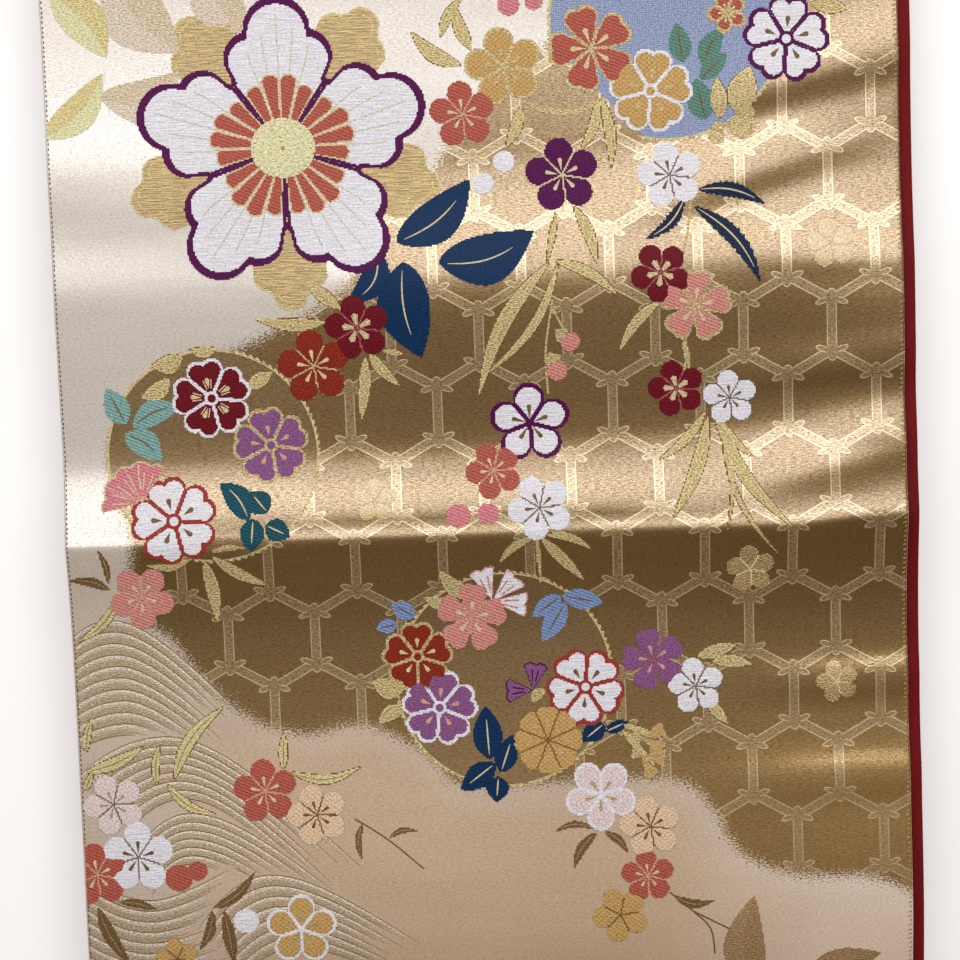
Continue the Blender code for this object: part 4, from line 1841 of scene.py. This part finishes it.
def core_wrap() -> Wrap:
    """Gives the middle line of the hidden stretches, from 5 up through 4 and 3 and round to 6.

    Returns:
        The line.
    """
    far, near = FAR_TURN, -HALF_LENGTH + MID_HEIGHT / 2 + 0.6
    inside = -HALF_LENGTH + CORE_INSET + LAYER_PITCH
    half = LAYER_PITCH / 2
    level = {s: (8 - s + 0.5) * LAYER_PITCH for s in (3, 4, 5, 6)}
    shift = {s: side_shift(s) for s in level}
    wrap = Wrap().run(near, far, level[5], 1.0, shift[5], CORE_STEP)
    wrap.bend(far, MID_HEIGHT, half, (-90, 90), (shift[5], shift[4]), True)
    wrap.run(far, inside, level[4], -1.0, shift[4], CORE_STEP)
    wrap.bend(inside, MID_HEIGHT + LAYER_PITCH, half, (-90, -270), (shift[4], shift[3]))
    wrap.run(inside, far, level[3], 1.0, shift[3], CORE_STEP)
    wrap.bend(far, MID_HEIGHT, 3 * half, (90, -90), (shift[3], shift[6]))
    return wrap.run(far, near, level[6], -1.0, shift[6], CORE_STEP)


def edge_distance(x: float, y: float, areas: Sequence[Sequence[Point]]) -> float:
    """Gives the distance to the nearest edge of some areas, negative inside one of them.

    Args:
        x: The place across the cloth.
        y: The place along it.
        areas: The outlines of the areas.

    Returns:
        The distance.
    """
    best = 1e9
    inside = False
    for area in areas:
        inside = inside or Inlay.holds(area, (x, y))
        for (x0, y0), (x1, y1) in zip(area, [*area[1:], area[0]]):
            dx, dy = x1 - x0, y1 - y0
            t = min(1.0, max(0.0, ((x - x0) * dx + (y - y0) * dy) / (dx * dx + dy * dy)))
            best = min(best, (x - x0 - dx * t) ** 2 + (y - y0 - dy * t) ** 2)
    return -math.sqrt(best) if inside else math.sqrt(best)


# The columns of a rolled long edge, from the edge inwards, and where the even columns start.
ROLL = (0.0, 0.12, 0.5, 1.3)
ROLL_MARGIN = 3.0


@dataclass
class Cloth:
    """One of the sewn cloths, as a closed wall along a wrap, with its long edges rolled in."""

    name: str
    wrap: Wrap
    outer: float
    thickness: float
    node: str
    slot: str
    spacing: float = 20.0
    roll: float = 0.4
    places: list[Point] = field(default_factory=list)

    def columns(self) -> list[float]:
        """Gives the places of the columns across the cloth.

        Returns:
            The places, from the left edge to the right.
        """
        inside = HALF_WIDTH - ROLL_MARGIN
        count = max(2, round(2 * inside / self.spacing))
        middle = [-inside + 2 * inside * i / count for i in range(count + 1)]
        return [-HALF_WIDTH + e for e in ROLL] + middle + [HALF_WIDTH - e for e in reversed(ROLL)]

    def rolled(self, u: float) -> float:
        """Gives how far the surface is drawn in near a long edge.

        Args:
            u: The place across the cloth.

        Returns:
            The distance drawn in.
        """
        near = (HALF_WIDTH - abs(u)) / ROLL[-1]
        if near >= 1.0:
            return 0.0
        return self.roll * (1.0 - math.sqrt(max(0.0, 1.0 - (1.0 - near) ** 2)))

    def build(self) -> bpy.types.Object:
        """Makes the cloth's mesh, with its place map.

        Returns:
            The piece.
        """
        across = self.columns()
        row, rows = len(across), len(self.wrap.stations)
        points = []
        for inner in (False, True):
            along = self.wrap.stations[0].y
            before = self.wrap.stations[0]
            for spot in self.wrap.stations:
                along += math.hypot(spot.y - before.y, spot.z - before.z)
                before = spot
                for u in across:
                    drawn = self.rolled(u)
                    depth = self.outer + (self.thickness - drawn if inner else drawn)
                    x, y, z = u + spot.shift, spot.y - depth * spot.out_y, spot.z - depth * spot.out_z
                    share = max(0.0, (z - MID_HEIGHT) / MID_HEIGHT)
                    if share:
                        z += min(1.0, share) * ripple_height(x, y)
                    points.append((x, y, z))
                    self.places.append((u + TOP_MIDDLE, along))
        half = row * rows
        faces = []
        for j in range(rows - 1):
            for i in range(row - 1):
                a = j * row + i
                faces.append((a, a + 1, a + row + 1, a + row))
                faces.append((half + a, half + a + row, half + a + row + 1, half + a + 1))
        loop = [*range(row)] + [(j + 1) * row - 1 for j in range(1, rows)]
        loop += [(rows - 1) * row + i for i in range(row - 2, -1, -1)]
        loop += [j * row for j in range(rows - 2, 0, -1)]
        faces += [(b, a, half + a, half + b) for a, b in zip(loop, [*loop[1:], loop[0]])]
        piece = mesh_piece(self.name, points, faces, MM)
        piece.data.set_sharp_from_angle(angle=math.radians(50))
        lay_places(piece, self.places)
        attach(piece, "root")
        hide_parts(self.node)
        LOG.info("%s: %d points, %.0f mm long", self.name, len(points), self.wrap.length())
        return piece

    def mark_satin(self, piece: bpy.types.Object) -> None:
        """Keeps each point's distance to the edge of the gold ground as an attribute.

        Args:
            piece: The cloth's mesh.
        """
        kept = piece.data.attributes.new("satin", "FLOAT", "POINT")
        known: dict[Point, float] = {}
        areas = [[*smooth_line(GOLD_EDGE, 3 * len(GOLD_EDGE) - 3), *FAR_GOLD], NEAR_GOLD]
        for i, (x, y) in enumerate(self.places):
            key = (round(x, 1), round(y, 1))
            if key not in known:
                known[key] = edge_distance(x, y, areas) if y < HALF_LENGTH else -99.0
            kept.data[i].value = known[key]


@dataclass(frozen=True)
class PlainSilk:
    """The plain crimson silk of the back."""

    colour: Colour = srgb(116, 18, 22)

    def material(self, name: str) -> bpy.types.Material:
        """Makes the back's material.

        Args:
            name: The material's name.

        Returns:
            The material.
        """
        graph = Graph(name)
        x, y = graph.place()
        wefts = graph.noise(x * 0.5, y * 2.6, 3.0)
        grain = graph.noise(x * 2.4, y * 2.4, 1.0, 4.0)
        cloudy = graph.noise(x * 0.03, y * 0.06, 2.0, 8.0)
        colour = graph.flat(self.colour).scaled(0.66 + wefts * 0.4 + cloudy * 0.28)
        return graph.finish(colour, 0.62 + grain * 0.16, 0.0, wefts * 0.6 + grain * 0.4, 0.06, 0.2)


@dataclass
class Sash:
    """The folded sash: its cloths, its pattern and the stitches of its edges.

    step is the distance between the rows of its top stretch, and stitch the one between stitches. loop is
    where an overcast loop starts and ends, inside the right edge, and dash is how far in a left stitch lies.
    """

    step: float = 2.4
    stitch: float = 1.75
    loop: Point = (1.6, 0.5)
    dash: float = 0.95

    def cloths(self) -> tuple[bpy.types.Object, float]:
        """Builds the face and back cloths of the wraps and of the hidden stretches.

        Returns:
            The top face cloth, and its length in metres.
        """
        outer, inner, core = outer_wrap(self.step), inner_wrap(), core_wrap()
        behind = FACE_THICKNESS + SEAM_GAP
        half = (FACE_THICKNESS + SEAM_GAP + BACK_THICKNESS) / 2
        brocade = Ground().material("gold_brocade")
        edge_brocade = Ground().material("inner_brocade", lattice=False)
        crimson = PlainSilk().material("crimson_silk")
        rows = (
            (brocade, "brocade_face", outer, 0.0, FACE_THICKNESS, "top_face_cloth", "brocade", self.step),
            (crimson, "crimson_back", outer, behind, BACK_THICKNESS, "top_back_cloth", "crimson_cloth"),
            (crimson, "turned_crimson", inner, 0.0, BACK_THICKNESS,
             "turned_back_cloth", "turned_crimson_cloth", 10.0),
            (edge_brocade, "turned_brocade", inner, BACK_THICKNESS + SEAM_GAP, FACE_THICKNESS,
             "turned_face_cloth", "turned_brocade"),
            (edge_brocade, "hidden_brocade", core, -half, FACE_THICKNESS, "folded_layers", "layered_cloth"),
            (crimson, "hidden_crimson", core, behind - half, BACK_THICKNESS,
             "folded_layers", "layered_cloth"),
        )
        made = {}
        for material, *given in rows:
            cloth = Cloth(*given)
            piece = cloth.build()
            piece.data.materials.append(material)
            if material is not crimson:
                cloth.mark_satin(piece)
            made[cloth.name] = piece
            if cloth.name != "brocade_face":
                cloth.wrap.length() * MM
        return made["brocade_face"], outer.length() * MM

    def selvages(self) -> list[bpy.types.Object]:
        """Sews the overcast loops along the right edge and the dotted thread along the left.

        Returns:
            The two pieces.
        """
        inlay = Inlay(lift=0.1, dome=0.0)
        y, k = -HALF_LENGTH + TARE_INSET + 2.0, 0
        while y < HALF_LENGTH - MID_HEIGHT:
            wobble = 0.25 * math.sin(k * 2.3) + 0.15 * math.sin(k * 5.1)
            start, end = (RIGHT_EDGE - far for far in self.loop)
            inlay.add("selvage", ribbon([(start + wobble, y - 0.25), (end, y + 0.2)], 0.6), 0, False)
            dash = LEFT_EDGE + self.dash
            inlay.add("dark_thread", ribbon([(dash, y), (dash + wobble * 0.3, y + 0.9)], 0.4), 0, False)
            y += self.stitch + 0.2 * math.sin(k * 1.7)
            k += 1
        return inlay.build()

    def build(self) -> None:
        """Builds the whole sash: its cloths, its woven pattern and the stitches of its edges."""
        face, length = self.cloths()
        woven = Pattern().build()
        sewn = self.selvages()
        for piece in [*woven, *sewn]:
            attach(piece, "root")
            LOG.info("%s: %d faces", piece.name, len(piece.data.polygons))
        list(woven)
        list(sewn)


# --------------------------------------------------------------------------------------------- the room


@dataclass(frozen=True)
class Room:
    """The pale floor, the soft light and the camera."""

    camera_far: float = 0.8
    tilt: float = 5.608
    roll: float = 1.954
    aim_x: float = -0.0041
    aim_z: float = 0.0243
    lens: float = 81.32

    def floor(self) -> None:
        """Lays the floor."""
        plane = mesh_piece("floor", [(-3, -3, 0), (3, -3, 0), (3, 3, 0), (-3, 3, 0)], [(0, 1, 2, 3)], 1.0)
        plane.location.z = -0.0002
        graph = Graph("pale_floor")
        graph.shader.inputs["Base Color"].default_value = (0.93, 0.93, 0.93, 1.0)
        graph.shader.inputs["Roughness"].default_value = 0.9
        graph.shader.inputs["Specular IOR Level"].default_value = 0.1
        graph.shader.inputs["Emission Color"].default_value = (1.0, 1.0, 1.0, 1.0)
        graph.shader.inputs["Emission Strength"].default_value = 0.28
        plane.data.materials.append(graph.material)

    def lamp(self, name: str, spot: Spot, size: Point, power: float) -> None:
        """Hangs a soft panel light that faces the sash.

        Args:
            name: The light's name.
            spot: Where it hangs, in metres.
            size: Its width and depth, in metres.
            power: Its power in watts.
        """
        data = bpy.data.lights.new(name, "AREA")
        data.shape = "RECTANGLE"
        data.size, data.size_y = size
        data.energy = power
        light = bpy.data.objects.new(name, data)
        light.location = spot
        light.rotation_mode = "QUATERNION"
        light.rotation_quaternion = (-Vector(spot)).to_track_quat("-Z", "Y")
        bpy.context.scene.collection.objects.link(light)

    def camera(self) -> None:
        """Places the camera, nearly overhead."""
        tilt, roll = math.radians(self.tilt), math.radians(self.roll)
        data = bpy.data.cameras.new("camera")
        data.lens, data.sensor_width = self.lens, 36.0
        data.clip_start, data.clip_end = 0.01, 20.0
        made = bpy.data.objects.new("camera", data)
        back, up = self.camera_far * math.sin(tilt), self.camera_far * math.cos(tilt)
        turn = Matrix.Rotation(-tilt, 4, "X") @ Matrix.Rotation(-roll, 4, "Z")
        made.matrix_world = Matrix.Translation((self.aim_x, back, self.aim_z + up)) @ turn
        bpy.context.scene.collection.objects.link(made)
        bpy.context.scene.camera = made

    def build(self) -> None:
        """Sets up the room."""
        self.floor()
        self.lamp("window_light", (0.0, 0.78, 1.32), (2.6, 1.15), 30.0)
        self.lamp("bounce_light", (0.0, -0.3, 1.45), (2.6, 0.3), 0.25)
        world = bpy.data.worlds.new("soft_room")
        world.use_nodes = True
        sky = world.node_tree.nodes["Background"]
        sky.inputs["Color"].default_value = (1.0, 0.55, 0.30, 1.0)
        sky.inputs["Strength"].default_value = 0.064
        bpy.context.scene.world = world
        bpy.context.scene.view_settings.view_transform = "Standard"
        self.camera()


def main() -> None:
    """Dresses the folded sash and sets up the room."""
    logging.basicConfig(level=logging.INFO, format="%(message)s")
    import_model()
    Room().build()
    Sash().build()
    LOG.info("the sash is dressed")


if __name__ == "__main__":
    main()
